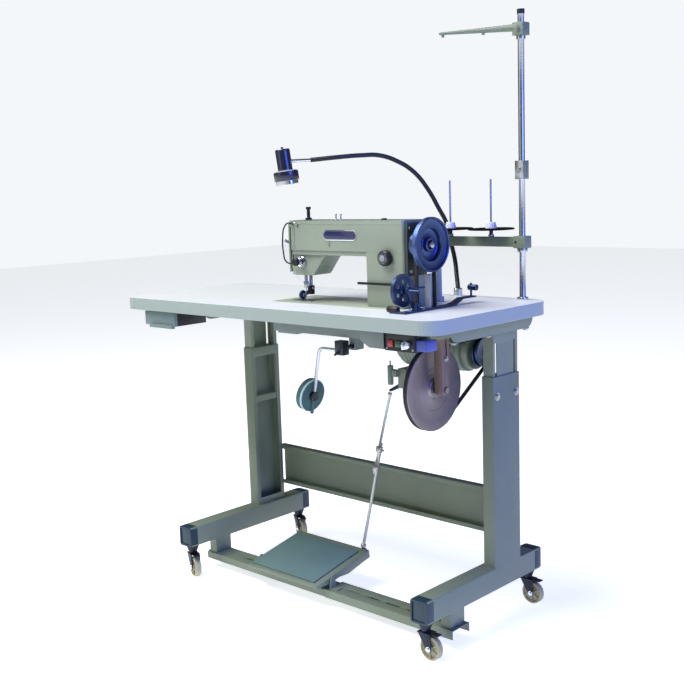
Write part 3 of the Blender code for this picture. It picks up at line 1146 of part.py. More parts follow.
# ================================================================ lamp
LAMP_BASE = Vector((0.312, 0.240, ON_TABLE))
NECK_ROUTE = [(0.312, 0.240, 0.890), (0.292, 0.262, 0.923), (0.273, 0.280, 0.967), (0.252, 0.290, 1.018),
              (0.237, 0.290, 1.073), (0.216, 0.282, 1.116), (0.198, 0.256, 1.172), (0.180, 0.218, 1.221),
              (0.160, 0.172, 1.252), (0.138, 0.114, 1.271), (0.114, 0.064, 1.272), (0.078, -0.002, 1.268),
              (0.031, -0.052, 1.263)]
LAMP_CENTRE = Vector((-0.019, -0.105, 1.262))
LAMP_AXIS = Vector((0.087, 0.082, -1)).normalized()


def smooth_route(points, repeats):
    """Round a route's corners by Chaikin's corner cutting."""
    for _ in range(repeats):
        new = [points[0]]
        for first, second in zip(points, points[1:]):
            new += [first.lerp(second, 0.25), first.lerp(second, 0.75)]
        points = new + [points[-1]]
    return points


def build_lamp():
    """Gooseneck lamp: neck with its table socket, and the tilting lamp head."""
    route = [Vector(point) for point in NECK_ROUTE]
    tip = route[-1]
    heading = (LAMP_CENTRE - tip).normalized()
    pivot = LAMP_CENTRE - heading * 0.036
    neck = tube("lamp_neck", smooth_route(route, 1), 0.0068, resolution=2)
    socket = rod("neck_socket", LAMP_BASE, LAMP_BASE + Z * 0.020, 0.0125, True, 16)
    nipple = rod("neck_nipple", tip - heading * 0.002, pivot - heading * 0.0064, 0.0045, True, 12)
    finish(join(neck, socket, nipple), BLACK_PLASTIC)

    top = LAMP_CENTRE - LAMP_AXIS * 0.034
    shade_profile = [(0, 0.005), (0.0035, 0.005), (0.0035, -0.001), (0.019, -0.002), (0.0205, -0.005),
                     (0.0205, -0.060),
                     (0.033, -0.063), (0.0345, -0.066), (0.0345, -0.087), (0.030, -0.090), (0.029,
                             -0.099), (0.026, -0.099),
                     (0.020, -0.080), (0, -0.076)]
    knuckle = ball("lamp_head", pivot, 0.0058)
    lug = rod("lamp_lug", pivot, LAMP_CENTRE - heading * 0.010, 0.0045, True, 12)
    shade = turned("lamp_shade", shade_profile, top, -LAMP_AXIS, True, steps=24)
    finish(join(knuckle, lug, shade), LAMP_PAINT, pivot)


# ================================================================ thread stand
POLE = Vector((0.535, 0.230, ON_TABLE))
POLE_RADIUS = 0.0085
POLE_TOP = 1.620


def build_thread_stand():
    """Pole with its joint clamp, the thread guide arm and the spool arm that swivel on it."""
    x, y = POLE.x, POLE.y
    pole = rod("thread_pole", POLE, (x, y, POLE_TOP), POLE_RADIUS, sides=16)
    parts = [rod("pole_flange", POLE, POLE + Z * 0.006, 0.015, True, 20),
             box("joint_clamp", (x - 0.013, y - 0.013, 1.192), (x + 0.013, y + 0.013, 1.240), True),
             rod("pole_cap", (x, y, POLE_TOP - 0.006), (x, y, POLE_TOP + 0.006), 0.010, True, 16),
             rod("spool_stop", (x, y, SPOOL_Z - 0.026), (x, y, SPOOL_Z - 0.016 - GAP), 0.014, True, 16),
             rod("guide_stop", (x, y, GUIDE_Z - 0.026), (x, y, GUIDE_Z - 0.016 - GAP), 0.012, True, 16)]
    finish(join(pole, *parts), BRIGHT_STEEL)

    # guide arm: a block on the pole and a tapered channel with two eyelets
    hole = POLE_RADIUS + RUNNING
    heading = Vector((-0.915, -0.403, 0)).normalized()
    side = Z.cross(heading)
    guide = box("thread_guide_arm", (x - 0.016, y - 0.016, GUIDE_Z - 0.016),
                (x + 0.016, y + 0.016, GUIDE_Z + 0.016))
    root = Vector((x, y, GUIDE_Z + 0.004)) + heading * 0.012
    tip = root + heading * 0.205
    blade = rod("guide_blade", root, tip, 0.0095, True, 8, 0.0035)
    eyes = [rod("eyelet", tip - heading * 0.010 - Z * 0.010, tip - heading * 0.010 + Z * 0.002, 0.004, True,
                8),
            rod("eyelet", root.lerp(tip, 0.42) + side * 0.002 - Z * 0.012,
                root.lerp(tip, 0.42) + side * 0.002, 0.004, True, 8)]
    bolt = rod("guide_bolt", (x, y - 0.012, GUIDE_Z), (x, y - 0.024, GUIDE_Z), 0.005, True, 8)
    join(guide, blade, *eyes, bolt)
    cut(guide, rod("guide_bore", (x, y, GUIDE_Z - 0.03), (x, y, GUIDE_Z + 0.03), hole, True, 20))
    finish(guide, STAND_PAINT, (x, y, GUIDE_Z))

    # spool arm: a box channel to the left with two spool discs and their pins
    arm = box("spool_arm", (x - 0.301, y - 0.010, SPOOL_Z - 0.013), (x - 0.010, y + 0.010, SPOOL_Z + 0.013))
    block = box("spool_block", (x - 0.018, y - 0.016, SPOOL_Z - 0.016),
                (x + 0.018, y + 0.016, SPOOL_Z + 0.016), True)
    pieces = [block]
    for offset in (0.100, 0.238):
        where = Vector((x - offset, y, SPOOL_Z))
        pieces.append(rod("disc_stem", where + Z * 0.010, where + Z * 0.034, 0.006, True, 12))
        pieces.append(rod("spool_disc", where + Z * 0.032, where + Z * 0.036, 0.0635, True, 32))
        pieces.append(rod("spool_hub", where + Z * 0.035, where + Z * 0.053, 0.016, True, 16, 0.012))
        pieces.append(rod("spool_pin", where + Z * 0.050, where + Z * 0.170, 0.0026, True, 8))
    join(arm, *pieces)
    cut(arm, rod("spool_bore", (x, y, SPOOL_Z - 0.03), (x, y, SPOOL_Z + 0.03), hole, True, 20))
    finish(arm, STAND_PAINT, (x, y, SPOOL_Z))


SPOOL_Z = 1.026
GUIDE_Z = 1.576


def build():
    build_tabletop()
    for label, side in (("left", -1), ("right", 1)):
        build_lower_leg(label, side)
        build_upper_leg(label, side)
    build_crossbar()
    build_treadle_rails()
    build_casters()
    seat = build_treadle()
    build_pitman_rod(seat)
    build_motor()
    build_motor_control()
    build_reducer()
    build_belts()
    build_switch_box()
    build_drawer()
    build_oil_pan()
    build_knee_lifter()
    build_bed()
    build_hook()
    build_arm()
    build_covers()
    build_handwheel()
    build_bars()
    build_take_up()
    build_controls()
    build_winder()
    build_rest_post()
    build_lamp()
    build_thread_stand()


build()
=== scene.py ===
# %% [markdown]
# An industrial sewing machine on a wheeled stand.
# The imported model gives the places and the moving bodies. This script gives each
# piece the surface and the small detail that the real machine has.

# %% Load the fixed frame
import json
import math

import bmesh
import bpy
from mathutils import Matrix, Vector


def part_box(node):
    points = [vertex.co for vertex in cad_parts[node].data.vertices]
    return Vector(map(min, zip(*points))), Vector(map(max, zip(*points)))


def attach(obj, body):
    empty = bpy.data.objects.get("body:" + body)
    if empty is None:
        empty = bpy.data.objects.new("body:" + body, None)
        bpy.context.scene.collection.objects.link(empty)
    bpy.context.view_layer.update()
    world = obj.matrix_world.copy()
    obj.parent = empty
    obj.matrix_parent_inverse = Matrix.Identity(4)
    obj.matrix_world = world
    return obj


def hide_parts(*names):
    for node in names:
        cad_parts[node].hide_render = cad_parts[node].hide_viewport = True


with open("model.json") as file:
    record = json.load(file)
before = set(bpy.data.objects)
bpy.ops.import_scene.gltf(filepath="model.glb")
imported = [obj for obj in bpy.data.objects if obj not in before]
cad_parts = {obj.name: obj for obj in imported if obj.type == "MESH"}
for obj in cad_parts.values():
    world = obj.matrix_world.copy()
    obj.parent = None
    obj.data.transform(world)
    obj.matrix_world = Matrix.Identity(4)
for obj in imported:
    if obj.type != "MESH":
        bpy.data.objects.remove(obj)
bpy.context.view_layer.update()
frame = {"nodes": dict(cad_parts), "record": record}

# %% [markdown]
# Colours are chosen as the hex values that a screen shows. Blender works with
# light, not with screen values, so one function turns one into the other.

# %% Colours
def linear(hex_colour):
    """The light values of a screen colour."""
    channels = [int(hex_colour[i:i + 2], 16) / 255 for i in (0, 2, 4)]
    light = [c / 12.92 if c <= 0.04045 else ((c + 0.055) / 1.055) ** 2.4 for c in channels]
    return (*light, 1.0)


def add(tree, kind, settings=None, **links):
    """Add a node, set its options or its sockets, and link sockets to it."""
    node = tree.nodes.new(kind)
    for name, value in (settings or {}).items():
        if hasattr(node, name) and name not in node.inputs:
            setattr(node, name, value)
        else:
            node.inputs[name].default_value = value
    for name, source in links.items():
        socket = node.inputs[int(name[1:])] if name[0] == "_" else node.inputs[name.replace("_", " ")]
        tree.links.new(source, socket)
    return node


# %% [markdown]
# Most surfaces of a machine are a colour with a coat or a grain on it. The eye
# reads three things: a slow drift of the colour, a fine bump, and a roughness
# that isn't quite even. This function makes all three, each at a real size in
# millimetres, and the finishes below only choose the sizes.

# %% A finish with drift, grain and uneven gloss
def finish(name, colour, roughness, metallic=0.0, drift=0.06, grain_mm=0.8, bump=0.02, patch_mm=90,
           **sockets):
    """A material whose patches and grain have sizes in millimetres."""
    material = bpy.data.materials.new(name)
    material.use_nodes = True
    tree = material.node_tree
    shader = tree.nodes["Principled BSDF"]
    shader.inputs["Metallic"].default_value = metallic
    for socket, value in sockets.items():
        shader.inputs[socket.replace("_", " ")].default_value = value
    place = add(tree, "ShaderNodeTexCoord").outputs["Object"]
    slow = add(tree, "ShaderNodeTexNoise", {"Scale": 1000 / patch_mm, "Detail": 3.0}, Vector=place)
    fine = add(tree, "ShaderNodeTexNoise", {"Scale": 1000 / grain_mm, "Detail": 2.0}, Vector=place)
    ramp = add(tree, "ShaderNodeValToRGB", {}, Fac=slow.outputs["Fac"])
    for element, position, change in zip(ramp.color_ramp.elements, (0.3, 0.7), (1 - drift, 1 + drift)):
        element.position = position
        element.color = [min(1, c * change) for c in linear(colour)[:3]] + [1]
    tree.links.new(ramp.outputs["Color"], shader.inputs["Base Color"])
    spread = {"To Min": roughness * 0.88, "To Max": min(1, roughness * 1.14)}
    gloss = add(tree, "ShaderNodeMapRange", spread, Value=slow.outputs["Fac"])
    tree.links.new(gloss.outputs["Result"], shader.inputs["Roughness"])
    depth = {"Strength": bump, "Distance": grain_mm / 1000}
    relief = add(tree, "ShaderNodeBump", depth, Height=fine.outputs["Fac"])
    tree.links.new(relief.outputs["Normal"], shader.inputs["Normal"])
    return material


# %% [markdown]
# Powder coat is baked dust: a soft gloss with a texture like fine orange peel,
# about a millimetre across. Enamel on the head is smoother and wetter. Moulded
# plastics have a spark-eroded grain of about half a millimetre.

# %% Paints and plastics
POWDER_COAT = finish("powder_coat_grey_green", "717D6A", 0.50, grain_mm=1.6, bump=0.10, drift=0.05)
ENAMEL = dict(roughness=0.30, grain_mm=3.0, bump=0.03, drift=0.03, Coat_Weight=0.25)
HEAD_ENAMEL = finish("head_enamel_grey_green", "8B9686", **ENAMEL)
BED_ENAMEL = finish("bed_enamel_pale_grey_green", "AEB8A8", **ENAMEL)
FOOT_CAP = finish("foot_cap_dark_teal", "0F2F3C", 0.42, grain_mm=0.6, bump=0.06)
MOTOR_CASTING = finish("motor_casting_paint", "6A7565", 0.48, grain_mm=2.2, bump=0.16, drift=0.10)
BRACKET_PAINT = finish("bracket_brown_paint", "6B5A50", 0.46, grain_mm=1.8, bump=0.10, drift=0.10)
BLACK_PLASTIC = finish("black_abs_moulded", "17191C", 0.42, grain_mm=0.5, bump=0.05)
COVER_PLASTIC = finish("cover_plastic_charcoal", "34403F", 0.48, grain_mm=0.5, bump=0.08)
PAN_PLASTIC = finish("oil_pan_grey_plastic", "6F7B76", 0.50, grain_mm=0.6, bump=0.05)
DRAWER_PLASTIC = finish("drawer_plastic_grey_teal", "6C7F7E", 0.50, grain_mm=0.6, bump=0.06)
CREAM_NYLON = finish("caster_cream_nylon", "A3A07F", 0.42, grain_mm=0.9, bump=0.04, Subsurface_Weight=0.05)
WHITE_PLASTIC = finish("spool_hub_white", "E2E6EE", 0.38, grain_mm=0.6)
SPOOL_BLACK = finish("spool_disc_black_felt", "0A0B0E", 0.90, grain_mm=0.5, bump=0.10,
                     Specular_IOR_Level=0.05)
RED_PLASTIC = finish("stop_button_red", "A01F2E", 0.28, grain_mm=0.5, Coat_Weight=0.3)
GREEN_PLASTIC = finish("start_button_green", "1D4A36", 0.28, grain_mm=0.5, Coat_Weight=0.3)
BLUE_BLOCK = finish("inlet_block_blue", "3F4E9A", 0.35, grain_mm=0.5, bump=0.03)
LAMP_PAINT = finish("lamp_navy_enamel", "161A33", 0.26, grain_mm=1.2, Coat_Weight=0.6)
NECK_SLEEVE = finish("gooseneck_black_sleeve", "14171A", 0.48, bump=0.06)
BADGE_NAVY = finish("badge_navy", "1E2450", 0.25, bump=0.01, Coat_Weight=0.5)
POST_GREY = finish("rest_post_grey", "8D979B", 0.40, bump=0.03)
RED_WINDOW = finish("indicator_window_red", "B0222A", 0.15, bump=0.0)

# %% [markdown]
# Rubber hardly shines. The treadle's mat is flat and chalky, the belts are black
# and slightly polished by their wheels, and the knee pad is teal sponge rubber.

# %% Rubbers
TREADLE_RUBBER = finish("treadle_mat_rubber", "5F7A74", 0.85, grain_mm=1.2, bump=0.30, drift=0.07)
BELT_RUBBER = finish("belt_rubber_black", "15171C", 0.60, bump=0.12)
PAD_RUBBER = finish("knee_pad_teal_rubber", "3A5C5C", 0.70, grain_mm=0.9, bump=0.20)
PAD_EDGE = finish("knee_pad_mint_rim", "A9C7BD", 0.60, grain_mm=0.9, bump=0.10)

# %% [markdown]
# Bare metals: the head's bars and pins are ground and plated, the handwheel and
# the winder are blued dark. A metal's colour is its reflection, so these stay
# fully metallic and only the roughness and a slight tint change.

# %% Metals
BRIGHT_STEEL = finish("plated_bright_steel", "BFC4C8", 0.24, 1.0, grain_mm=0.9, bump=0.03, drift=0.04)
CHROME = finish("chrome_plate", "DDE2E8", 0.10, 1.0, grain_mm=1.0, bump=0.0, drift=0.02)
BLUED_STEEL = finish("blued_dark_steel", "3E4E6E", 0.36, 0.85, grain_mm=1.0, bump=0.05, drift=0.12)
FORK_STEEL = finish("caster_fork_black_zinc", "2C3038", 0.38, 0.7, grain_mm=0.9, bump=0.05, drift=0.12)
BOLT_STEEL = finish("bolt_zinc_plate", "A8ABA4", 0.32, 1.0, grain_mm=0.7, bump=0.04, drift=0.08)


def turned_steel(name, colour, centre, groove_mm, roughness):
    """Lathe-turned metal: rings round an X axis through a centre."""
    material = finish(name, colour, roughness, 0.9, drift=0.08, patch_mm=60)
    tree = material.node_tree
    shader = tree.nodes["Principled BSDF"]
    place = add(tree, "ShaderNodeTexCoord").outputs["Object"]
    moved = add(tree, "ShaderNodeMapping", {"Location": [-c for c in centre]}, Vector=place)
    parts = add(tree, "ShaderNodeSeparateXYZ", {}, Vector=moved.outputs["Vector"])
    flat = add(tree, "ShaderNodeCombineXYZ", {}, Y=parts.outputs["Y"], Z=parts.outputs["Z"])
    reach = add(tree, "ShaderNodeVectorMath", {"operation": "LENGTH"}, _0=flat.outputs["Vector"])
    count = add(tree, "ShaderNodeMath", {"operation": "MULTIPLY"}, _0=reach.outputs["Value"])
    count.inputs[1].default_value = 1000 / groove_mm
    rings = add(tree, "ShaderNodeTexNoise", {"noise_dimensions": "1D", "Scale": 1.0, "Detail": 2.0},
                W=count.outputs["Value"])
    relief = add(tree, "ShaderNodeBump", {"Strength": 0.25, "Distance": 0.0006},
                 Height=rings.outputs["Fac"])
    tree.links.new(relief.outputs["Normal"], shader.inputs["Normal"])
    return material


DRIVE_Y = (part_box("handwheel")[0][1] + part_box("handwheel")[1][1]) / 2
SHAFT_Z = (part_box("handwheel")[0][2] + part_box("handwheel")[1][2]) / 2
REDUCER_Z = (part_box("reducer_wheel")[0][2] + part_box("reducer_wheel")[1][2]) / 2
REDUCER_STEEL = turned_steel("reducer_turned_steel", "8B8280", (0, DRIVE_Y, REDUCER_Z), 2.4, 0.42)
WHEEL_STEEL = turned_steel("handwheel_turned_steel", "4A5C86", (0, DRIVE_Y, SHAFT_Z), 1.6, 0.34)
print("drive line at y", round(DRIVE_Y, 4), "shaft z", round(SHAFT_Z, 4))

# %% [markdown]
# The table is a board with a pale laminate on top. Its rounded edge is the same laminate,
# and the grey-green there is painted shade. One material does both: it looks at which way
# the face points, and adds the laminate's speckle, whose grains are a millimetre or two across.

# %% Table laminate
SPECKLE_MM = 2.5


def laminate():
    material = finish("table_laminate", "DDE3DF", 0.38, grain_mm=1.2, bump=0.04, drift=0.02,
                      Coat_Weight=0.15)
    tree = material.node_tree
    shader = tree.nodes["Principled BSDF"]
    place = add(tree, "ShaderNodeTexCoord").outputs["Object"]
    speckle = add(tree, "ShaderNodeTexVoronoi", {"Scale": 1000 / SPECKLE_MM}, Vector=place)
    tone = add(tree, "ShaderNodeValToRGB", {}, Fac=speckle.outputs["Distance"])
    tone.color_ramp.elements[0].color = linear("C9D1CC")
    tone.color_ramp.elements[1].color = linear("E6EAE7")
    tone.color_ramp.elements[1].position = 0.35
    facing = add(tree, "ShaderNodeNewGeometry")
    parts = add(tree, "ShaderNodeSeparateXYZ", {}, Vector=facing.outputs["Normal"])
    up = add(tree, "ShaderNodeMapRange", {"From Min": 0.55, "From Max": 0.8}, Value=parts.outputs["Z"])
    # Faces that don't point up take a darker grey-green: painted shade on the rounded edge.
    lit_top_shaded_edge = add(tree, "ShaderNodeMix", {"data_type": "RGBA"}, _0=up.outputs["Result"])
    lit_top_shaded_edge.inputs[6].default_value = linear("93A19B")
    tree.links.new(tone.outputs["Color"], lit_top_shaded_edge.inputs[7])
    tree.links.new(lit_top_shaded_edge.outputs[2], shader.inputs["Base Color"])
    return material


LAMINATE = laminate()

# %% [markdown]
# Shapes are made straight in mesh code. A turned shape is a profile carried
# round an axis, a plate is an outline with holes given a thickness, and a bar is
# a tube along a path. Each helper gives a bmesh whose faces point outwards.

# %% Shape helpers
CENTRE_Y = 0.02345   # the table's middle is this far in front of the model's middle
X, Y, Z = Vector((1, 0, 0)), Vector((0, 1, 0)), Vector((0, 0, 1))


def at(x, y, z):
    """A point given about the middle of the table, in the model's frame."""
    return Vector((x, y - CENTRE_Y, z))


def turn_to(direction):
    return Vector(direction).to_track_quat("Z", "Y").to_matrix().to_4x4()


def lathe(profile, centre, axis, steps=64):
    """A closed turned body from (radius, height) pairs in millimetres, top to bottom."""
    bm = bmesh.new()
    rings = []
    for radius, height in [(r / 1000, h / 1000) for r, h in profile]:
        if radius < 1e-6:
            rings.append([bm.verts.new((0, 0, height))])
            continue
        angles = [2 * math.pi * i / steps for i in range(steps)]
        rings.append([bm.verts.new((radius * math.cos(a), radius * math.sin(a), height)) for a in angles])
    pairs = list(zip(rings, rings[1:]))
    if profile[0][0]:
        pairs.append((rings[-1], rings[0]))
    for upper, lower in pairs:
        for i in range(steps):
            j = (i + 1) % steps
            corners = [upper[i % len(upper)], lower[i % len(lower)],
                       lower[j % len(lower)], upper[j % len(upper)]]
            loop = list(dict.fromkeys(corners))
            if len(loop) > 2:
                bm.faces.new(loop)
    bmesh.ops.recalc_face_normals(bm, faces=bm.faces)
    bmesh.ops.transform(bm, matrix=Matrix.Translation(Vector(centre)) @ turn_to(axis), verts=bm.verts)
    return bm


def rod(radius, high, low, centre, axis, steps=24):
    """A plain turned pin between two heights along an axis, in millimetres."""
    return lathe([(0, high), (radius, high), (radius, low), (0, low)], centre, axis, steps)


def join(shapes):
    """One bmesh with the faces of several, which are freed."""
    whole = bmesh.new()
    for bm in shapes:
        part = bpy.data.meshes.new("part")
        bm.to_mesh(part)
        bm.free()
        whole.from_mesh(part)
        bpy.data.meshes.remove(part)
    return whole


def from_curve(curve, matrix):
    """The mesh of a curve, moved by a matrix."""
    guide = bpy.data.objects.new("guide", curve)
    bpy.context.collection.objects.link(guide)
    mesh = bpy.data.meshes.new_from_object(guide.evaluated_get(bpy.context.evaluated_depsgraph_get()))
    bpy.data.objects.remove(guide)
    bm = bmesh.new()
    bm.from_mesh(mesh)
    bmesh.ops.remove_doubles(bm, verts=bm.verts, dist=0.00001)
    bmesh.ops.transform(bm, matrix=matrix, verts=bm.verts)
    bmesh.ops.recalc_face_normals(bm, faces=bm.faces)
    return bm


PLANES = {"XZ": Matrix(((1, 0, 0, 0), (0, 0, -1, 0), (0, 1, 0, 0), (0, 0, 0, 1))),
          "YZ": Matrix(((0, 0, 1, 0), (1, 0, 0, 0), (0, 1, 0, 0), (0, 0, 0, 1))),
          "XY": Matrix.Identity(4)}


def plate(plane, outlines, near, far):
    """An outline with holes, drawn in a plane, between two distances across it."""
    curve = bpy.data.curves.new("outline", "CURVE")
    curve.dimensions = "2D"
    curve.fill_mode = "BOTH"
    curve.extrude = (far - near) / 2
    for outline in outlines:
        spline = curve.splines.new("POLY")
        spline.points.add(len(outline) - 1)
        for point, (u, v) in zip(spline.points, outline):
            point.co = (u, v, 0, 1)
        spline.use_cyclic_u = True
    across = {"XZ": (0, 1, 0), "YZ": (1, 0, 0), "XY": (0, 0, 1)}[plane]
    return from_curve(curve, Matrix.Translation(Vector(across) * ((near + far) / 2)) @ PLANES[plane])


def bar(points, radius, resolution=4, smooth=False):
    """A round bar along points, as a poly line or a smooth curve."""
    curve = bpy.data.curves.new("path", "CURVE")
    curve.dimensions = "3D"
    curve.bevel_depth = radius
    curve.bevel_resolution = resolution
    curve.use_fill_caps = True
    curve.resolution_u = 10
    spline = curve.splines.new("BEZIER" if smooth else "POLY")
    if smooth:
        spline.bezier_points.add(len(points) - 1)
        for point, where in zip(spline.bezier_points, points):
            point.co = where
            point.handle_left_type = point.handle_right_type = "AUTO"
    else:
        spline.points.add(len(points) - 1)
        for point, where in zip(spline.points, points):
            point.co = (*where, 1)
    return from_curve(curve, Matrix.Identity(4))


def block(low, high):
    """A box between two corners."""
    bm = bmesh.new()
    low, high = Vector(low), Vector(high)
    bmesh.ops.create_cube(bm, size=1)
    bmesh.ops.scale(bm, vec=high - low, verts=bm.verts)
    bmesh.ops.translate(bm, vec=(low + high) / 2, verts=bm.verts)
    return bm


def arc(centre, radius, start, end, steps=10):
    """Points along an arc, between two angles in degrees."""
    angles = [math.radians(start + (end - start) * i / steps) for i in range(steps + 1)]
    return [(centre[0] + radius * math.cos(a), centre[1] + radius * math.sin(a)) for a in angles]


def rounded(left, low, right, high, radius, steps=8):
    """A rectangle with round corners."""
    corners = [(right - radius, low + radius), (right - radius, high - radius),
               (left + radius, high - radius), (left + radius, low + radius)]
    return [p for i, c in enumerate(corners) for p in arc(c, radius, -90 + 90 * i, 90 * i, steps)]


# %% [markdown]
# A piece of the real machine has no knife-sharp edges. Every piece gets a narrow
# bevel that catches the light, and smooth shading that stops at real corners.

# %% Turning shapes into pieces
def piece(name, shapes, material, body="stand", bevel=0.0, segments=2, stands_for=(), angle=32):
    """Join bmeshes into one named object that rides on a body."""
    mesh = bpy.data.meshes.new(name)
    whole = join(shapes if isinstance(shapes, list) else [shapes])
    whole.to_mesh(mesh)
    whole.free()
    obj = bpy.data.objects.new(name, mesh)
    bpy.context.scene.collection.objects.link(obj)
    mesh.materials.append(material)
    if bevel:
        rounding = obj.modifiers.new("Round", "BEVEL")
        rounding.width = bevel
        rounding.segments = segments
        rounding.limit_method = "ANGLE"
        rounding.angle_limit = math.radians(angle)
        rounding.use_clamp_overlap = True
    settle(obj)
    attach(obj, body)
    if stands_for:
        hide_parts(*stands_for)
    return obj


def settle(obj, angle=35):
    """Bake an object's modifiers into its mesh and shade it smooth up to an angle."""
    graph = bpy.context.evaluated_depsgraph_get()
    mesh = bpy.data.meshes.new_from_object(obj.evaluated_get(graph))
    obj.modifiers.clear()
    obj.data = mesh
    mesh.shade_smooth()
    mesh.set_sharp_from_angle(angle=math.radians(angle))


def body_of(node):
    return next(b for b, names in frame["record"]["behaviour"]["bodies"].items() if node in names)


def softened(node, material, bevel, segments=2):
    """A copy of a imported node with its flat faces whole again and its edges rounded."""
    bm = bmesh.new()
    bm.from_mesh(frame["nodes"][node].data)
    bmesh.ops.remove_doubles(bm, verts=bm.verts, dist=0.00002)
    bmesh.ops.dissolve_limit(bm, angle_limit=math.radians(1.0), verts=bm.verts, edges=bm.edges)
    return piece(node + "_detail", bm, material, body_of(node), bevel, segments, (node,))


# %% [markdown]
# Folded sheet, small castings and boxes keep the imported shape. They only need the
# bend radius of the sheet or the casting, and their own finish.

# %% Rounded copies of the plain pieces
ROUNDED = [
    ("leg_lower_left", POWDER_COAT, 0.0016), ("leg_lower_right", POWDER_COAT, 0.0016),
    ("leg_upper_left", POWDER_COAT, 0.0009), ("leg_upper_right", POWDER_COAT, 0.0009),
    ("crossbar", POWDER_COAT, 0.0009), ("treadle_rail_left", POWDER_COAT, 0.0008),
    ("treadle_rail_right", POWDER_COAT, 0.0008), ("treadle", POWDER_COAT, 0.0009),
    ("treadle_mat", TREADLE_RUBBER, 0.0012), ("pitman_rod", BOLT_STEEL, 0.0005),
    ("motor_lever", FORK_STEEL, 0.0005), ("motor_control_box", MOTOR_CASTING, 0.0014),
    ("reducer_bracket", BRACKET_PAINT, 0.0014), ("foot_roller", BLUED_STEEL, 0.0006),
    ("start_button", GREEN_PLASTIC, 0.0012), ("stop_button", RED_PLASTIC, 0.0012),
    ("selector_knob", CHROME, 0.0006), ("drawer_case", BLACK_PLASTIC, 0.0006),
    ("drawer", DRAWER_PLASTIC, 0.0006), ("oil_pan", PAN_PLASTIC, 0.0015),
    ("bed_plate", BED_ENAMEL, 0.0004), ("throat_plate", BRIGHT_STEEL, 0.0002),
    ("rotary_hook", BRIGHT_STEEL, 0.0008), ("face_plate", HEAD_ENAMEL, 0.0006),
    ("needle_bar", BRIGHT_STEEL, 0.0003), ("presser_bar", BRIGHT_STEEL, 0.0005),
    ("take_up_lever", BRIGHT_STEEL, 0.0005), ("reverse_lever", FORK_STEEL, 0.0008),
    ("winder_base", BLUED_STEEL, 0.0006), ("winder_frame", BLUED_STEEL, 0.0005),
    ("thread_guide_arm", POWDER_COAT, 0.0008), ("main_shaft", BRIGHT_STEEL, 0.0005),
    ("end_cover", COVER_PLASTIC, 0.0018), ("switch_box", BLACK_PLASTIC, 0.0018),
    ("thread_pole", BRIGHT_STEEL, 0.0008), ("head_rest_post", POST_GREY, 0.0012),
    ("knee_lifter", FORK_STEEL, 0.0006), ("pressure_screw", BLACK_PLASTIC, 0.0004),
]
CORNERS = [f"{end}_{side}" for end in ("front", "rear") for side in ("left", "right")]
ROUNDED += [("caster_fork_" + corner, FORK_STEEL, 0.0006) for corner in CORNERS]
details = {node: softened(node, material, bevel) for node, material, bevel in ROUNDED}


def repaint(obj, material, chosen):
    """Give the faces whose centre passes a test another finish."""
    obj.data.materials.append(material)
    for face in obj.data.polygons:
        if chosen(face.center + Vector((0, CENTRE_Y, 0))):
            face.material_index = len(obj.data.materials) - 1


repaint(details["switch_box"], BLUE_BLOCK, lambda p: p.x > 0.5095)
repaint(details["switch_box"], PAN_PLASTIC, lambda p: p.x < 0.4138)
repaint(details["thread_pole"], BLACK_PLASTIC, lambda p: p.z > 1.613)
repaint(details["thread_pole"], POWDER_COAT, lambda p: 1.19 < p.z < 1.2401 and abs(p.x - 0.535) > 0.009)
repaint(details["knee_lifter"], PAD_RUBBER, lambda p: p.x < 0.105 and p.z < 0.665)
repaint(details["knee_lifter"], BRIGHT_STEEL, lambda p: p.z > 0.665 and p.x < 0.180)
repaint(details["presser_bar"], BLACK_PLASTIC,
        lambda p: 0.8865 < p.z < 0.9118 and abs(p.x + 0.008) < 0.0075)
repaint(details["winder_base"], POST_GREY, lambda p: p.x < 0.4585 and p.z > 0.878 and -0.071 < p.y < -0.043)
repaint(details["winder_base"], BLACK_PLASTIC, lambda p: p.x < 0.4365 and p.y < -0.162)
print("rounded", len(ROUNDED), "pieces")

# %% [markdown]
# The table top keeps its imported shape: its edge is already rounded.

# %% Table top
frame["nodes"]["tabletop"].data.materials.clear()
frame["nodes"]["tabletop"].data.materials.append(LAMINATE)

# %% [markdown]
# The arm is a casting with a flat front, a step along its lower edge, a thick
# pillar on the right and a nose on the left that hangs down to the needle. Its
# upright edges have a big radius and its other edges a small one.

# %% Arm casting
ARM_LEFT, ARM_RIGHT, ARM_FRONT, ARM_REAR, ARM_TOP = -0.030, 0.391, -0.092, -0.002, 1.098
SHAFT_Y, SHAFT_HIGH, NEEDLE_X, PRESSER_Y = -0.047, 1.035, -0.008, -0.028
NOSE_SIDE = [(-0.027, 1.006), (-0.027, 0.972), (-0.025, 0.956), (-0.020, 0.948), (-0.014, 0.946),
             (0.050, 0.946), (0.058, 0.948), (0.064, 0.955), (0.092, 0.990), (0.099, 0.997), (0.108, 1.006)]


def upright(left, front, right, rear, low, high, left_radius, right_radius):
    """A block with round upright edges, drawn from above."""
    outline = (arc((right - right_radius, front + right_radius), right_radius, -90, 0, 8)
               + arc((right - right_radius, rear - right_radius), right_radius, 0, 90, 8)
               + arc((left + left_radius, rear - left_radius), left_radius, 90, 180, 12)
               + arc((left + left_radius, front + left_radius), left_radius, 180, 270, 12))
    return plate("XY", [outline], low, high)


def cast(name, shapes, bevel, segments):
    return piece(name, shapes, HEAD_ENAMEL, bevel=bevel, segments=segments, angle=50)


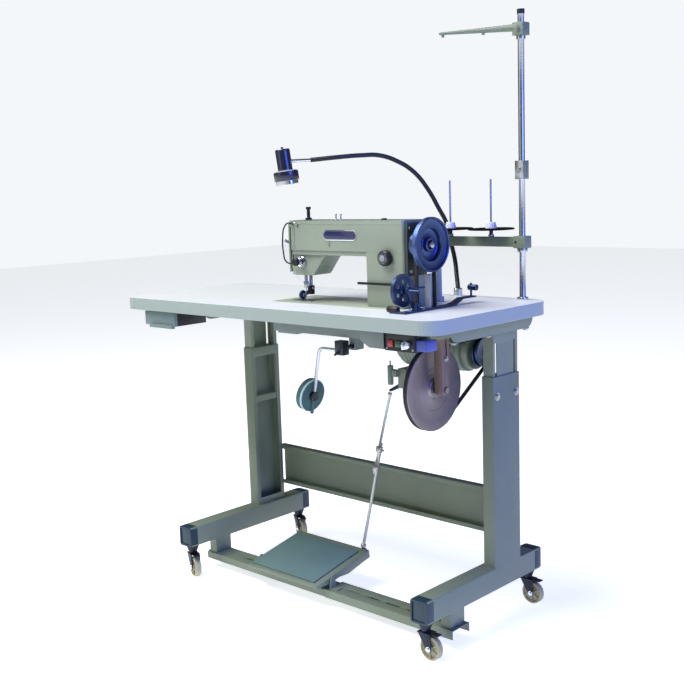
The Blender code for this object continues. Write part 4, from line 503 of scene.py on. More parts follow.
def arm():
    """Three rounded bodies made one, then the room for the shafts cut out."""
    left, right, front, rear = ARM_LEFT, ARM_RIGHT, ARM_FRONT - CENTRE_Y, ARM_REAR - CENTRE_Y
    beam = cast("beam", upright(left, front, right, rear, 1.0165, ARM_TOP, 0.017, 0.007), 0.008, 5)
    step = upright(left + 0.003, front + 0.004, right - 0.0005, rear - 0.004, 1.004, 1.018, 0.014, 0.006)
    pillar = upright(0.260, front + 0.0002, right, rear, 0.8724, 1.0175, 0.007, 0.007)
    shell = cast("arm_shell", plate("XZ", [NOSE_SIDE], front + 0.010, rear - 0.010), 0.006, 4)
    lower = cast("lower", [step, pillar], 0.0025, 3)
    shaft_y, presser_y = SHAFT_Y - CENTRE_Y, PRESSER_Y - CENTRE_Y
    holes = [block((-0.060, front + 0.016, 0.962), (0.014, rear - 0.014, 1.088)),
             block((0.268, front + 0.008, 0.860), (0.383, rear - 0.008, 1.000)),
             rod(14.5, 500, -500, (0, shaft_y, SHAFT_HIGH), X, 32)]
    for y, radius in ((shaft_y, 5.2), (presser_y, 5.6)):
        holes.append(rod(radius, 980, 930, (NEEDLE_X, y, 0), Z))
        holes.append(rod(6, 1120, 1070, (NEEDLE_X, y, 0), Z))
    for x, z, radius in ((0.016, 0.985, 3.4), (0.336, 1.002, 5.5)):
        holes.append(rod(radius, 20, -30, (x, front, z), -Y))
    holes.append(block((-0.0235, front - 0.01, 0.990), (-0.0175, front + 0.020, 1.080)))
    works = [(beam, "UNION"), (lower, "UNION")]
    works += [(piece("hole", hole, HEAD_ENAMEL), "DIFFERENCE") for hole in holes]
    for part, work in works:
        shaping = shell.modifiers.new("Shape", "BOOLEAN")
        shaping.object = part
        shaping.operation = work
        shaping.solver = "MANIFOLD"
        settle(shell)
        bpy.data.objects.remove(part)
    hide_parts("arm_casting")
    return shell


print("arm", len(arm().data.polygons), "faces")

# %% [markdown]
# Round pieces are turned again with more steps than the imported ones, so that
# their outlines stay smooth close up. Each profile is half of the real section,
# as pairs of a radius and a place along the axis, in millimetres.

# %% Handwheel
BELT_X, GROOVE_R, FACE = 0.424, 0.033, 0.452


def wheel(name, stations, y, z, material, body, stands_for=(), steps=128):
    """A piece turned round the X axis through a point of the drive."""
    return piece(name, lathe(stations, at(0, y, z), X, steps), material, body, stands_for=stands_for)


WHEEL_HALF = [(11.5, 443.5), (16.5, 443.5), (17.5, 442.5), (18.5, 433), (20, 432.4), (38.5, 432.4),
              (40.5, 433.4), (41.6, 444), (42.6, 445.4), (45, 445.6), (61, 444.2), (63.2, 445.2),
              (64.5, 450.8), (66, 452), (68, 452), (69.4, 451), (70, 449), (70, 439), (68, 437),
              (42, 431.5), (40.5, 430.8), (40, 429.8), (33, 429.3), (33, 418.7), (40, 418.2), (40, 406),
              (38, 404.5), (11.5, 404.5)]
wheel("handwheel_turned", WHEEL_HALF, SHAFT_Y, SHAFT_HIGH, WHEEL_STEEL, "main_drive", ("handwheel",))
hub_cap = [(0, 447.5), (6, 447.5), (6.8, 446.8), (6.8, 444), (0, 444)]
wheel("handwheel_screw", hub_cap, SHAFT_Y, SHAFT_HIGH, CHROME, "main_drive", steps=32)
# Flat black discs on the wheel's face are painted shade for its pits and for the small hole near the rim.
pit_shade_discs = []
for degrees in (20, 200):
    a = math.radians(degrees)
    where = at(FACE - 0.0195, SHAFT_Y + 0.027 * math.cos(a), SHAFT_HIGH + 0.027 * math.sin(a))
    pit_shade_discs.append(rod(4.2, 0.4, -0.6, where, X))
pit_shade_discs.append(rod(2.1, 0.4, -0.6, at(FACE, SHAFT_Y, SHAFT_HIGH + 0.067), X, 20))
piece("handwheel_pits", pit_shade_discs, BLACK_PLASTIC, "main_drive")
collar = [(12, 404.1), (24, 404.1), (24, 402.6), (12, 402.6)]
wheel("shaft_collar", collar, SHAFT_Y, SHAFT_HIGH, CHROME, "main_drive", steps=64)

# %% [markdown]
# Below the table a large turned disc takes the motor's belt, and a small wheel on
# the same axle sends the drive up to the handwheel.

# %% Reducer disc and motor pulley
REDUCER_AT, MOTOR_AT = (SHAFT_Y, 0.664), (0.179, 0.729)
DISC_HALF = [(0, 489), (7.2, 489), (8, 488), (8, 454.5), (10, 453.8), (25, 453.5), (26.2, 452.5),
             (28.5, 448.2), (30, 447.8), (56, 447.8), (56.5, 447.2), (57.5, 447.2), (58, 447.8),
             (87, 447.8), (91.5, 448.7), (110, 448.8), (111, 448), (111, 445.8), (104, 445.5), (104, 434.5),
             (111, 434.2), (111, 432), (110, 431.2), (38, 431.2), (38, 431), (33, 430), (33, 419),
             (38, 418.5), (38, 416.2), (8, 416.2), (8, 398.5), (0, 398.5)]
wheel("reducer_turned", DISC_HALF, *REDUCER_AT, REDUCER_STEEL, "reducer", ("reducer_wheel",), 160)
PULLEY_HALF = [(8.3, 448.8), (14, 448.8), (15, 447.8), (33, 447.8), (34.5, 448.8), (41.2, 448.8), (42, 448),
               (42, 445.8), (36, 445.5), (36, 434.5), (42, 434.2), (42, 432), (41.2, 431.2), (8.3, 431.2)]
wheel("motor_pulley_turned", PULLEY_HALF, *MOTOR_AT, BLUED_STEEL, "motor_drive", ("motor_pulley",), 96)

# %% [markdown]
# A belt runs straight between the two tangent points of its wheels and round
# each wheel on the far side. The angle of the tangents comes from the radii.

# %% Belts
def belt_path(first, r1, second, r2):
    dy, dz = second[0] - first[0], second[1] - first[1]
    line = math.degrees(math.atan2(dz, dy))
    lean = math.degrees(math.acos((r1 - r2) / math.hypot(dy, dz)))
    far_side = arc(first, r1, line + lean, line - lean + 360, 48)
    return far_side + arc(second, r2, line - lean, line + lean, 48)


def belt(node, x, first, r1, second, r2):
    here = [(y - CENTRE_Y, z) for y, z in (first, second)]
    inner = belt_path(here[0], r1 + 0.0004, here[1], r2 + 0.0004)
    outer = belt_path(here[0], r1 + 0.0053, here[1], r2 + 0.0053)
    band = plate("YZ", [outer, inner], x - 0.005, x + 0.005)
    return piece(node + "_smooth", band, BELT_RUBBER, body_of(node), 0.0008, 2, (node,))


belt("drive_belt_upper", BELT_X, REDUCER_AT, GROOVE_R, (SHAFT_Y, SHAFT_HIGH), GROOVE_R)
belt("drive_belt_lower", 0.440, REDUCER_AT, 0.104, MOTOR_AT, 0.036)
print("drive pieces done")

# %% [markdown]
# The motor is a ribbed drum with an end bell on each side, hung from a cradle.

# %% Motor
DRUM_HALF = [(0, 422), (47, 422), (51, 419), (51, 402), (53, 400), (56, 399), (58, 396), (58, 186),
             (56, 182), (46.5, 181), (46.5, 168), (43, 164), (0, 164)]
drum = lathe(DRUM_HALF, at(0, *MOTOR_AT), X, 96)
cradle = block(at(0.250, 0.139, 0.769), at(0.350, 0.219, 0.8327))
base = block(at(0.230, 0.121, 0.8317), at(0.370, 0.237, 0.8357))
motor_shaft = lathe([(0, 446), (7.5, 446), (8, 445.5), (8, 421), (0, 421)], at(0, *MOTOR_AT), X, 32)
piece("motor_body", [drum, cradle, base, motor_shaft], MOTOR_CASTING, "stand", 0.0020, 3, ("motor",))
RIB_HALF = [(57, 2.2), (58.8, 2), (58.8, -2), (57, -2.2)]
ribs = [lathe(RIB_HALF, at(0.206 + 0.0145 * k, *MOTOR_AT), X, 96) for k in range(13)]
piece("motor_ribs", ribs, MOTOR_CASTING)
piece("control_window", block(at(0.2055, 0.170, 0.632), at(0.2068, 0.184, 0.644)), RED_WINDOW, "stand",
      0.0004)

# %% [markdown]
# The thread stand carries two spool discs on the arm, each with a white tapered
# hub and a thin steel pin. The arm is a bent channel that turns on the pole.

# %% Spool arm
SPOOL_Z, POLE_X, POLE_Y = 1.026, 0.535, 0.230
bore = arc((POLE_X, POLE_Y - CENTRE_Y), 0.0088, 0, 352.5, 47)
corners = ((-0.018, -0.016), (0.018, -0.016), (0.018, 0.016), (-0.018, 0.016))
side = [(POLE_X + u, POLE_Y + v - CENTRE_Y) for u, v in corners]
clamp = plate("XY", [side, bore], SPOOL_Z - 0.016, SPOOL_Z + 0.016)
channel = block(at(POLE_X - 0.301, POLE_Y - 0.010, SPOOL_Z - 0.013),
                at(POLE_X - 0.0175, POLE_Y + 0.010, SPOOL_Z + 0.013))
piece("spool_channel", [clamp, channel], POWDER_COAT, "spools", 0.0016, 3, ("spool_arm",))
DISC = [(0, 36.2), (62, 36.2), (63.5, 35), (63.5, 33), (62, 32), (0, 32)]
SPOOL_HUB = [(0, 53), (3.5, 53), (11, 53), (12.2, 52), (16, 37.2), (16, 36.3), (0, 36.3)]
SPOOL_PIN = [(0, 170), (1.6, 169.5), (2.6, 167), (2.6, 50), (0, 50)]
SPOOL_NUT = [(0, 33), (5.8, 33), (5.8, 20), (8.8, 19.5), (8.8, 13.2), (0, 13.2)]
for name, half, steps, material, bevel in [
        ("spool_discs", DISC, 96, SPOOL_BLACK, 0), ("spool_hubs", SPOOL_HUB, 48, WHITE_PLASTIC, 0),
        ("spool_pins", SPOOL_PIN, 20, BRIGHT_STEEL, 0), ("spool_nuts", SPOOL_NUT, 6, BOLT_STEEL, 0.0004)]:
    pair = [lathe(half, at(x, POLE_Y, SPOOL_Z), Z, steps) for x in (0.435, 0.297)]
    piece(name, pair, material, "spools", bevel)
# A flat black disc on the clamp is painted shade for the hole of its clamp screw.
screw_shade_disc = rod(3.5, 0.2, -1, at(0.524, POLE_Y - 0.0161, SPOOL_Z), -Y)
piece("spool_clamp_hole", screw_shade_disc, BLACK_PLASTIC, "spools")

# %% [markdown]
# The lamp stands on a gooseneck: a bent steel hose in a smooth black sleeve, in a
# plated socket on the table.

# %% Lamp neck
NECK = [at(*p) for p in [
    (0.312, 0.240, 0.8721), (0.312, 0.240, 0.890), (0.292, 0.262, 0.923), (0.273, 0.280, 0.967),
    (0.252, 0.290, 1.018), (0.237, 0.290, 1.073), (0.216, 0.282, 1.116), (0.198, 0.256, 1.172),
    (0.180, 0.218, 1.221), (0.160, 0.172, 1.252), (0.138, 0.114, 1.271), (0.114, 0.064, 1.272),
    (0.078, -0.002, 1.268), (0.031, -0.052, 1.263)]]
socket = lathe([(0, 20), (10.5, 20), (12.5, 18), (12.5, 0), (0, 0)], NECK[0], Z, 48)
piece("lamp_gooseneck", bar(NECK, 0.0064, 6, True), NECK_SLEEVE, stands_for=("lamp_neck",))
piece("lamp_socket", socket, BRIGHT_STEEL)

# %% [markdown]
# The lamp is a small navy drum with a wider mouth, a plated ring in the mouth and
# a short plated stem to the end of the neck.

# %% Lamp head
LAMP_AT = at(-0.019, -0.105, 1.262)
LAMP_AXIS = Vector((0.087, 0.082, -1)).normalized()
lamp_top = LAMP_AT - LAMP_AXIS * 0.034
SHADE = [(0, 5), (3, 5), (3.5, 4.5), (3.5, -0.6), (18.5, -1.2), (20, -3), (20.5, -5.5), (20.5, -60),
         (32, -62.5), (34.2, -64), (34.5, -66.5), (34.5, -86.5), (33.5, -88), (28.5, -89), (28, -86),
         (20, -80), (0, -76)]
RING = [(30, -87.8), (31, -88.5), (30.5, -98), (29.5, -99), (26.5, -98.5), (26.5, -89)]
LEDGE = [(20.6, -58.8), (31.8, -61.2), (33.8, -62.4), (33, -62.8), (20.6, -60.4)]
for name, half, material, replaced in [
        ("lamp_shade", SHADE, LAMP_PAINT, ("lamp_head",)), ("lamp_ring", RING, CHROME, ()),
        ("lamp_ledge", LEDGE, POST_GREY, ())]:
    piece(name, lathe(half, lamp_top, -LAMP_AXIS, 96), material, "lamp", stands_for=replaced)
heading = (LAMP_AT - NECK[-1]).normalized()
stem = bar([NECK[-1] - heading * 0.003, LAMP_AT - heading * 0.0195], 0.0046, 6)
piece("lamp_stem", stem, CHROME, "lamp")

# %% [markdown]
# The knee pad is a thick teal disc with a pale rim, on a bent rod.

# %% Knee pad
elbow, toe = at(0.112, -0.125, 0.753), at(0.073, -0.125, 0.566)
pad_at = elbow.lerp(toe, 0.735)
pad_axis = Vector((1, 0, -0.20)).normalized()
PAD = [(0, -4.2), (44.5, -4.2), (45.8, -5.5), (46.2, -22.5), (45, -24.3), (30, -24.6), (0, -24.6)]
PAD_RIM = [(44, -3.6), (46.2, -4), (46.8, -6), (46.4, -9), (45.5, -9), (44, -5)]
BOSS = [(0, 7.5), (12.5, 7.5), (14.5, 6), (14.5, -4.5), (0, -4.5)]
for name, half, steps, material, bevel in [("knee_pad_face", PAD, 96, PAD_RUBBER, 0),
                                           ("knee_pad_rim", PAD_RIM, 96, PAD_EDGE, 0),
                                           ("knee_pad_boss", BOSS, 48, BLACK_PLASTIC, 0.0004)]:
    piece(name, lathe(half, pad_at, pad_axis, steps), material, "knee", bevel)

# %% [markdown]
# Turned knobs of the head: the thread tension with its two dished plates and its
# spring, and the stitch dial with its pale cap.

# %% Head knobs
TENSION = at(0.016, ARM_FRONT + 0.0097, 0.985)
DIAL = at(0.336, ARM_FRONT - 0.0003, 1.002)
KNOB = [(0, 34), (8.5, 34), (10.5, 32.5), (11, 31), (11, 22.5), (10, 21.5), (5, 21.2), (5, 3), (3, 0),
        (3, -12), (0, -12)]
piece("tension_knob_turned", lathe(KNOB, TENSION, -Y, 64), BLACK_PLASTIC, "tension",
      stands_for=("tension_knob",))
DISH = [(5, 1.2), (12.5, 1.2), (14, 2.4), (14.5, 1.8), (13, 0), (5, 0)]
dishes = [lathe([(r, h + low) for r, h in DISH], TENSION, -Y, 64) for low in (3, 6.8)]
turns = [(0.5 * k, -0.0115 - 0.00022 * k) for k in range(46)]
coil = [TENSION + Vector((0.0085 * math.cos(a), depth, 0.0085 * math.sin(a))) for a, depth in turns]
piece("tension_plates", dishes + [bar(coil, 0.0006, 2)], CHROME, "tension")
DIAL_HALF = [(0, 19), (14, 19), (16.5, 18.5), (19.5, 16), (20.5, 13), (20.5, 3.5), (16.5, 0), (5, 0),
             (5, -16), (0, -16)]
piece("stitch_dial_turned", lathe(DIAL_HALF, DIAL, -Y, 96), BLACK_PLASTIC, "dial",
      stands_for=("stitch_dial",))
DIAL_CAP = [(0, 21.2), (7, 21.2), (8.5, 20.2), (8.5, 18.8), (0, 18.8)]
piece("stitch_dial_cap", lathe(DIAL_CAP, DIAL, -Y, 48), POST_GREY, "dial")

# %% [markdown]
# The winder's wheel has six round windows cut through its web.

# %% Winder wheel
WINDER_Y, WINDER_Z, WINDOW_REACH = -0.139, 0.926, 0.022
WINDER_HALF = [(4.2, 7), (9.5, 7), (10.5, 6), (12, 2.2), (33, 2.2), (35.5, 4.8), (36, 5), (41.2, 5),
               (42, 4.2), (42, -4.2), (41.2, -5), (36, -5), (34, -2.2), (12, -2.2), (10, -5), (4.2, -5)]
windows = []
for k in range(6):
    a = math.radians(30 + 60 * k)
    where = at(BELT_X, WINDER_Y + WINDOW_REACH * math.cos(a), WINDER_Z + WINDOW_REACH * math.sin(a))
    windows.append(rod(5.2, 20, -20, where, X, 32))
cutter = piece("winder_windows", windows, BLUED_STEEL, "winder_disc")
winder_body = lathe(WINDER_HALF, at(BELT_X, WINDER_Y, WINDER_Z), X, 96)
winder_disc = piece("winder_wheel_turned", winder_body, BLUED_STEEL, "winder_disc",
                    stands_for=("winder_wheel",))
through = winder_disc.modifiers.new("Windows", "BOOLEAN")
through.object = cutter
through.solver = "EXACT"
settle(winder_disc)
bpy.data.objects.remove(cutter)

# %% [markdown]
# Screws, bolts and knurls repeat many times, so Geometry Nodes places them. The
# tree puts a copy of one prototype on each point, turns it to face the way that
# the point's "aim" says, rolls it a little so that no two slots line up, and then
# makes the copies real and gives them their finish.

# %% A Geometry Nodes tree that places copies
def placing_tree():
    tree = bpy.data.node_groups.new("Place_Copies", "GeometryNodeTree")
    for name, kind, way in [("Points", "NodeSocketGeometry", "INPUT"),
                            ("Prototype", "NodeSocketObject", "INPUT"),
                            ("Finish", "NodeSocketMaterial", "INPUT"), ("Roll", "NodeSocketFloat", "INPUT"),
                            ("Seed", "NodeSocketInt", "INPUT"), ("Copies", "NodeSocketGeometry", "OUTPUT")]:
        tree.interface.new_socket(name, in_out=way, socket_type=kind)
    given = add(tree, "NodeGroupInput")
    copy = add(tree, "GeometryNodeObjectInfo", {}, Object=given.outputs["Prototype"])
    aim = add(tree, "GeometryNodeInputNamedAttribute", {"data_type": "FLOAT_VECTOR", "Name": "aim"})
    face = add(tree, "FunctionNodeAlignRotationToVector", {"axis": "Z"}, Vector=aim.outputs["Attribute"])
    most = add(tree, "FunctionNodeRandomValue", {"data_type": "FLOAT"}, Seed=given.outputs["Seed"])
    product = {"operation": "MULTIPLY"}
    roll = add(tree, "ShaderNodeMath", product, _0=most.outputs[1], _1=given.outputs["Roll"])
    spin = add(tree, "ShaderNodeCombineXYZ", {}, Z=roll.outputs["Value"])
    own_axes = {"rotation_space": "LOCAL"}
    turned = add(tree, "FunctionNodeRotateRotation", own_axes, Rotation=face.outputs["Rotation"])
    tree.links.new(spin.outputs["Vector"], turned.inputs["Rotate By"])
    placed = add(tree, "GeometryNodeInstanceOnPoints", {}, Points=given.outputs["Points"],
                 Instance=copy.outputs["Geometry"], Rotation=turned.outputs["Rotation"])
    real = add(tree, "GeometryNodeRealizeInstances", {}, Geometry=placed.outputs["Instances"])
    painted = add(tree, "GeometryNodeSetMaterial", {}, Geometry=real.outputs["Geometry"],
                  Material=given.outputs["Finish"])
    add(tree, "NodeGroupOutput", {}, Copies=painted.outputs["Geometry"])
    return tree


PLACE = placing_tree()
MOST_ROLL = 3.0   # radians


def place_copies(name, prototype, spots, material=BOLT_STEEL, body="stand"):
    """Copies of a prototype bmesh on (place, direction) spots, as one plain mesh."""
    shape = bpy.data.meshes.new("prototype")
    prototype.to_mesh(shape)
    prototype.free()
    model = bpy.data.objects.new("prototype", shape)
    points = bpy.data.meshes.new(name)
    points.from_pydata([p for p, _ in spots], [], [])
    aim = points.attributes.new("aim", "FLOAT_VECTOR", "POINT")
    aim.data.foreach_set("vector", [c for _, d in spots for c in d])
    obj = bpy.data.objects.new(name, points)
    bpy.context.scene.collection.objects.link(model)
    bpy.context.scene.collection.objects.link(obj)
    nodes = obj.modifiers.new("Copies", "NODES")
    nodes.node_group = PLACE
    sockets = {item.name: item.identifier for item in PLACE.interface.items_tree}
    for key, value in [("Prototype", model), ("Finish", material), ("Roll", MOST_ROLL), ("Seed", 7)]:
        nodes[sockets[key]] = value
    settle(obj)
    bpy.data.objects.remove(model)
    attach(obj, body)
    return obj


# %% [markdown]
# Two prototypes: a slotted screw, whose head is two half discs on a round base,
# and a hex bolt on a washer. Both point along Z with the seat at zero.

# %% Screws and bolts
def slotted(radius, height=0.0022):
    """A screw head with a slot across its upper half, in metres."""
    whole = arc((0, 0), radius, 0, 354, 59)
    halves = [[p for p in whole if p[1] > radius * 0.13], [p for p in whole if p[1] < -radius * 0.13]]
    return join([plate("XY", [half], height * 0.5, height) for half in halves]
                + [plate("XY", [whole], -0.001, height * 0.5)])


def hex_bolt(radius, height=5.5):
    """A six-sided head on a round washer, in millimetres."""
    head = [(0, height), (radius * 0.85, height), (radius, height - 0.8), (radius, 1.4), (0, 1.4)]
    washer = [(0, 1.6), (radius * 1.45, 1.6), (radius * 1.5, 1.2), (radius * 1.5, -0.5), (0, -0.5)]
    return join([lathe(head, (0, 0, 0), Z, 6), lathe(washer, (0, 0, 0), Z, 32)])


COLUMN_LEFT, COLUMN_RIGHT, BOARD_LOW = -0.440, 0.540, 0.7973
sides = ((COLUMN_RIGHT, X), (COLUMN_LEFT, -X))
columns = [(at(x, y, 0.628), way) for x, way in sides for y in (0.100, 0.188)]
columns += [(at(x, y, BOARD_LOW), -Z) for x in (-0.447, 0.547) for y in (-0.095, 0.050, 0.222)]
place_copies("column_bolts", hex_bolt(7.5), columns)
covers = [(at(0.4024, y, z), X) for y in (-0.078, -0.016) for z in (1.078, 0.968)]
covers += [(at(-0.0364, y, z), -X) for y in (-0.074, -0.020) for z in (1.078, 0.966)]
covers += [(at(x, ARM_FRONT - 0.0002, z), -Y) for x, z in ((0.012, 1.086), (0.130, 1.035), (0.375, 0.900))]
place_copies("cover_screws", slotted(0.0042), covers)
tops = [(at(x, y, 0.8719), Z) for y in (-0.0655, -0.0285) for x in (-0.040, 0.024)]
tops += [(at(x, SHAFT_Y, ARM_TOP + 0.0001), Z) for x in (0.120, 0.250, 0.365)]
place_copies("top_screws", slotted(0.0036, 0.0012), tops)
boxes = [(at(x, -0.2003, z), -Y) for x in (0.4205, 0.5030) for z in (0.829, 0.789)]
place_copies("switch_screws", slotted(0.0026, 0.0010), boxes)
winder_bolts = [(at(0.454, y, 0.8771), Z) for y in (-0.150, -0.098)]
place_copies("winder_bolts", hex_bolt(5, 4.5), winder_bolts)
place_copies("bracket_bolts", hex_bolt(5), [(at(0.4851, SHAFT_Y, 0.745), X)])
pole_bolts = [(at(POLE_X, 0.2168, 1.216), -Y), (at(POLE_X, 0.213, 1.576), -Y)]
place_copies("pole_bolts", hex_bolt(5), pole_bolts)

# %% [markdown]
# A caster wheel is a cream nylon moulding with a groove round its tread, a
# recess on both sides and six ribs in each recess. A bolt goes through the fork.

# %% Caster wheels
RIM, RECESS, HUB, WEB = 31.5, 24.5, 9.5, 4.5
WHEEL_SIDE = [(4.5, 10), (HUB - 1, 10), (HUB, 9), (HUB, WEB), (RECESS, WEB), (RECESS + 1, 8.8),
              (RECESS + 3, 10), (RIM - 3, 9.8), (RIM, 7), (RIM, 1.2), (RIM - 1.2, 0)]
WHEEL_SECTION = WHEEL_SIDE + [(r, -h) for r, h in reversed(WHEEL_SIDE[:-1])]
RIB_RADIUS, BOLT_REACH = 0.0019, 0.0142
joints = {j["name"]: j for j in frame["record"]["behaviour"]["joints"]}
for corner in CORNERS:
    rolling = joints["roll_" + corner]
    centre, axle = Vector(rolling["pos_m"]), Vector(rolling["axis"])
    shapes = [lathe(WHEEL_SECTION, centre, axle, 64)]
    for k in range(6):
        out = Matrix.Rotation(k * math.pi / 3, 3, axle) @ Z
        for side in (1, -1):
            depth = axle * side * (WEB + 1.8) / 1000
            ends = [centre + out * reach / 1000 + depth for reach in (HUB - 1, RECESS + 1)]
            shapes.append(bar(ends, RIB_RADIUS, 2))
    piece("caster_tread_" + corner, shapes, CREAM_NYLON, "wheel_" + corner,
          stands_for=("caster_wheel_" + corner,))
    bolts = [(centre + axle * BOLT_REACH, axle), (centre - axle * BOLT_REACH, -axle)]
    place_copies("axle_bolt_" + corner, hex_bolt(4.8, 4), bolts, CHROME, "caster_" + corner)

# %% [markdown]
# Knurled edges: many small ridges along the rims of the knobs and the handwheel.
# The stitch dial has a ring of light marks as well.

# %% Knurls
def ring_of(count, centre, axis, radius):
    """Places round a ring, each with its direction outwards."""
    ring_axes = turn_to(axis).to_3x3()
    spots = []
    for k in range(count):
        a = 2 * math.pi * k / count
        out = ring_axes @ Vector((math.cos(a), math.sin(a), 0))
        spots.append((Vector(centre) + out * radius, out))
    return spots


TOOTH_RADIUS, TOOTH_SINK = 0.0009, 0.0006
for name, count, centre, axis, radius, length, body, material in [
        ("dial_knurl", 60, DIAL - Y * 0.0083, Y, 0.0203, 0.008, "dial", BLACK_PLASTIC),
        ("tension_knurl", 40, TENSION - Y * 0.0268, Y, 0.0108, 0.007, "tension", BLACK_PLASTIC),
        ("wheel_knurl", 132, at(FACE - 0.008, SHAFT_Y, SHAFT_HIGH), X, 0.0699, 0.0085, "main_drive",
         WHEEL_STEEL)]:
    teeth = []
    for spot, out in ring_of(count, centre, axis, radius):
        sink, reach = out * TOOTH_SINK, axis * length / 2
        teeth.append(bar([spot - reach - sink, spot + reach - sink], TOOTH_RADIUS, 1))
    piece(name, teeth, material, body)
ticks = []
for k in range(20):
    a = 2 * math.pi * k / 20
    out = Vector((math.cos(a), 0, math.sin(a)))
    ticks.append(bar([DIAL - Y * 0.0189 + out * 0.0110, DIAL - Y * 0.0189 + out * 0.0138], 0.0004, 1))
piece("dial_marks", ticks, WHITE_PLASTIC, "dial")

# %% [markdown]
# Small fittings on the head: the badge, the thread posts and hooks, the oil cap,
# the wire guard beside the face plate and the length of thread to the needle.

# %% Fittings on the head
def path(*points):
    return [at(*p) for p in points]


front_y = ARM_FRONT - CENTRE_Y
badge = plate("XZ", [rounded(0.112, 1.047, 0.230, 1.071, 0.0118, 12)], front_y - 0.0016, front_y + 0.001)
piece("badge_plate", badge, BADGE_NAVY, "stand", 0.0004)
edge = plate("XZ", [rounded(0.110, 1.045, 0.232, 1.073, 0.0138, 12),
                    rounded(0.1125, 1.0475, 0.2295, 1.0705, 0.0113, 12)], front_y - 0.0020, front_y + 0.001)
piece("badge_edge", edge, CHROME, "stand", 0.0003)
POST = [(0, 17), (3, 16.5), (3.5, 15), (3, 13.5), (2, 13), (2, 3), (4.2, 2), (4.2, -1), (0, -1)]
posts = [lathe(POST, at(x, -0.060, ARM_TOP), Z, 32) for x in (0.129, 0.147)]
piece("thread_posts", posts, BRIGHT_STEEL, "stand", 0.0002)
OIL_CAP = [(0, 5), (6, 4.5), (7.5, 3), (8, -1), (0, -1)]
piece("oil_filler_cap", lathe(OIL_CAP, at(0.297, -0.055, ARM_TOP), Z, 32), BLACK_PLASTIC, "stand", 0.0002)
guard = path((-0.006, -0.094, 1.088), (-0.016, -0.101, 1.092), (-0.029, -0.104, 1.082),
             (-0.036, -0.106, 1.050), (-0.035, -0.106, 1.010), (-0.028, -0.104, 0.985),
             (-0.012, -0.098, 0.978), (0.000, -0.0925, 0.976))
piece("wire_guard", bar(guard, 0.0021, 3, True), NECK_SLEEVE)
hook_top = path((-0.004, -0.090, 1.090), (-0.004, -0.096, 1.094), (0.004, -0.100, 1.094),
                (0.012, -0.098, 1.088), (0.012, -0.092, 1.084))
hook_low = path((-0.008, -0.084, 0.955), (-0.012, -0.092, 0.952), (-0.004, -0.095, 0.950),
                (0.000, -0.088, 0.950))
arm_ridge = block(at(0.002, ARM_FRONT - 0.0008, 1.0875), at(0.384, ARM_FRONT + 0.001, 1.0895))
piece("arm_ridge", arm_ridge, HEAD_ENAMEL, "stand", 0.0007, 3)
piece("thread_hooks", [bar(hook, 0.0009, 3, True) for hook in (hook_top, hook_low)], BRIGHT_STEEL)
seam = block(at(-0.0032, ARM_FRONT - 0.0003, 1.019), at(-0.0020, ARM_FRONT + 0.0010, 1.088))
piece("face_plate_seam", seam, COVER_PLASTIC)
thread = path((-0.030, -0.108, 1.048), (-0.026, -0.104, 1.000), (-0.014, -0.095, 0.954),
              (-0.009, -0.060, 0.925), (-0.008, -0.049, 0.905))
piece("thread_strand", bar(thread, 0.00035, 2, True), WHITE_PLASTIC)

# %% [markdown]
# The feet of the stand are open tubes closed with dark plastic caps. Each cap is
# a shallow tray with a raised edge.

# %% Foot caps
FOOT_MIDDLES = {"left": -0.414, "right": 0.514}
caps = []
for side, middle in FOOT_MIDDLES.items():
    low, high = (Vector(v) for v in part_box("leg_lower_" + side))
    for y, inward in ((low.y, 1), (high.y, -1)):
        rim_outline = rounded(middle - 0.0262, 0.0985, middle + 0.0262, 0.1595, 0.006)
        tray_outline = rounded(middle - 0.0215, 0.1035, middle + 0.0215, 0.1545, 0.004)
        for outlines, past, inside in (([rim_outline, tray_outline], 0.0035, 0.026),
                                       ([tray_outline], 0.0010, 0.004)):
            near, far = sorted((y - inward * past, y + inward * inside))
            caps.append(plate("XZ", outlines, near, far))
piece("foot_caps", caps, FOOT_CAP, "stand", 0.0012)

# %% [markdown]
# Dark plates lie inside the two long rails under their slots. They are painted shade for the dark insides
# of the channels; in the right rail the plate also stands where the sliding inner rail lies.

# %% Painted shade in the rail slots
# Thin dark plates under the slots: painted shade inside the channels.
slot_shade_plates = [block(at(-0.310, -0.100, 0.0405), at(-0.150, -0.050, 0.0425)),
           block(at(0.212, -0.100, 0.0415), at(0.520, -0.050, 0.0435))]
piece("rail_tongues", slot_shade_plates, FORK_STEEL, "stand", 0.0004)

# %% [markdown]
# A plain pale floor that glows a little, a big soft light above, a blue one from
# the right as from a window, and a weak warm one from the front left. The world
# is nearly white to the camera and dim as a light, so it doesn't wash out shadows.

# %% Floor and light
floor_mesh = bpy.data.meshes.new("floor")
floor_mesh.from_pydata([(-14, -9, 0), (14, -9, 0), (14, 14, 0), (-14, 14, 0)], [], [(0, 1, 2, 3)])
floor = bpy.data.objects.new("floor", floor_mesh)
bpy.context.scene.collection.objects.link(floor)
SKY_COLOUR, SKY_LEVEL, SKY_SEEN = "F4F7FA", 0.14, 1.0
floor_mesh.materials.append(finish("studio_floor", "E8E9EB", 0.8, grain_mm=3.0, bump=0.02, drift=0.01,
                                   patch_mm=900, Emission_Color=linear(SKY_COLOUR), Emission_Strength=0.78))


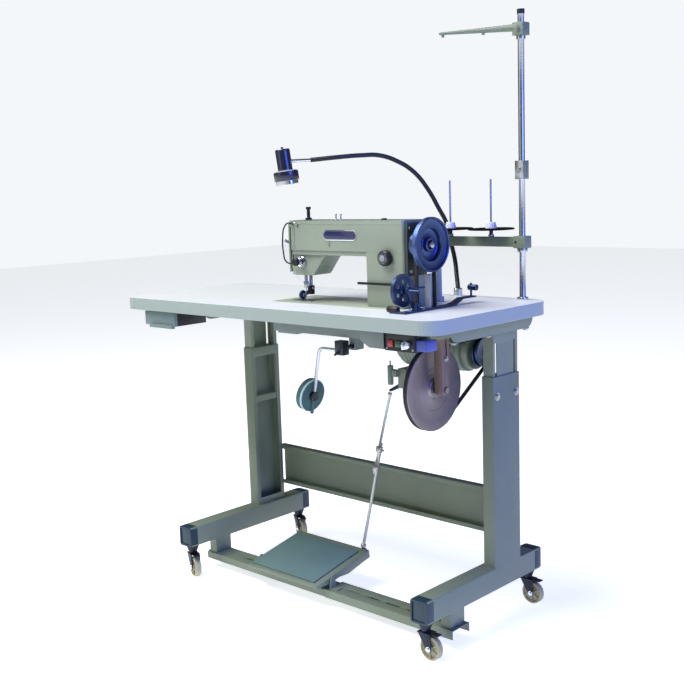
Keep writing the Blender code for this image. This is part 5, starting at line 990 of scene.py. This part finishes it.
def soft_light(name, where, target, size, power, colour):
    """A round area light that faces a point."""
    lamp = bpy.data.lights.new(name, "AREA")
    lamp.shape = "DISK"
    lamp.size = size
    lamp.energy = power
    lamp.color = linear(colour)[:3]
    obj = bpy.data.objects.new(name, lamp)
    obj.location = where
    obj.rotation_euler = (Vector(target) - Vector(where)).to_track_quat("-Z", "Y").to_euler()
    bpy.context.scene.collection.objects.link(obj)


soft_light("light_top", (-0.8, -1.6, 4.2), (0, 0, 0.7), 3.2, 235, "FFFFFF")
soft_light("light_right", (4.2, -0.2, 2.2), (0, 0, 0.8), 2.4, 150, "4F70FF")
soft_light("light_front", (-1.6, -4.0, 1.8), (0, 0, 0.7), 2.6, 14, "FFF8EC")
world = bpy.data.worlds.new("studio")
bpy.context.scene.world = world
world.use_nodes = True
sky = world.node_tree.nodes["Background"]
sky.inputs["Color"].default_value = linear(SKY_COLOUR)
seen = add(world.node_tree, "ShaderNodeLightPath")
level = add(world.node_tree, "ShaderNodeMapRange", {"To Min": SKY_LEVEL, "To Max": SKY_SEEN},
            Value=seen.outputs["Is Camera Ray"])
world.node_tree.links.new(level.outputs["Result"], sky.inputs["Strength"])
bpy.context.scene.view_settings.view_transform = "Standard"

# %% [markdown]
# The camera stands in front and to the right, a little above the table, and is
# rolled by two degrees.

# %% Camera
AZIMUTH, HEIGHT, ROLL = math.radians(43.34), math.radians(8.51), math.radians(-1.89)
PLACE_OF_CAMERA = (2.09145, -2.15567, 1.1894)
back = Vector((math.sin(AZIMUTH) * math.cos(HEIGHT), -math.cos(AZIMUTH) * math.cos(HEIGHT),
               math.sin(HEIGHT)))
right = (-back).cross(Z).normalized()
up = right.cross(-back)
across = math.cos(ROLL) * right + math.sin(ROLL) * up
upwards = -math.sin(ROLL) * right + math.cos(ROLL) * up
lens = bpy.data.cameras.new("camera")
lens.lens = 54.876
lens.sensor_width = 36
camera = bpy.data.objects.new("camera", lens)
axes = Matrix((across, upwards, back)).transposed()
camera.matrix_world = Matrix.Translation(PLACE_OF_CAMERA) @ axes.to_4x4()
bpy.context.scene.collection.objects.link(camera)
bpy.context.scene.camera = camera

# %% [markdown]
# The scene is brought up to date, and then it is finished.

# %% Finish
bpy.context.view_layer.update()
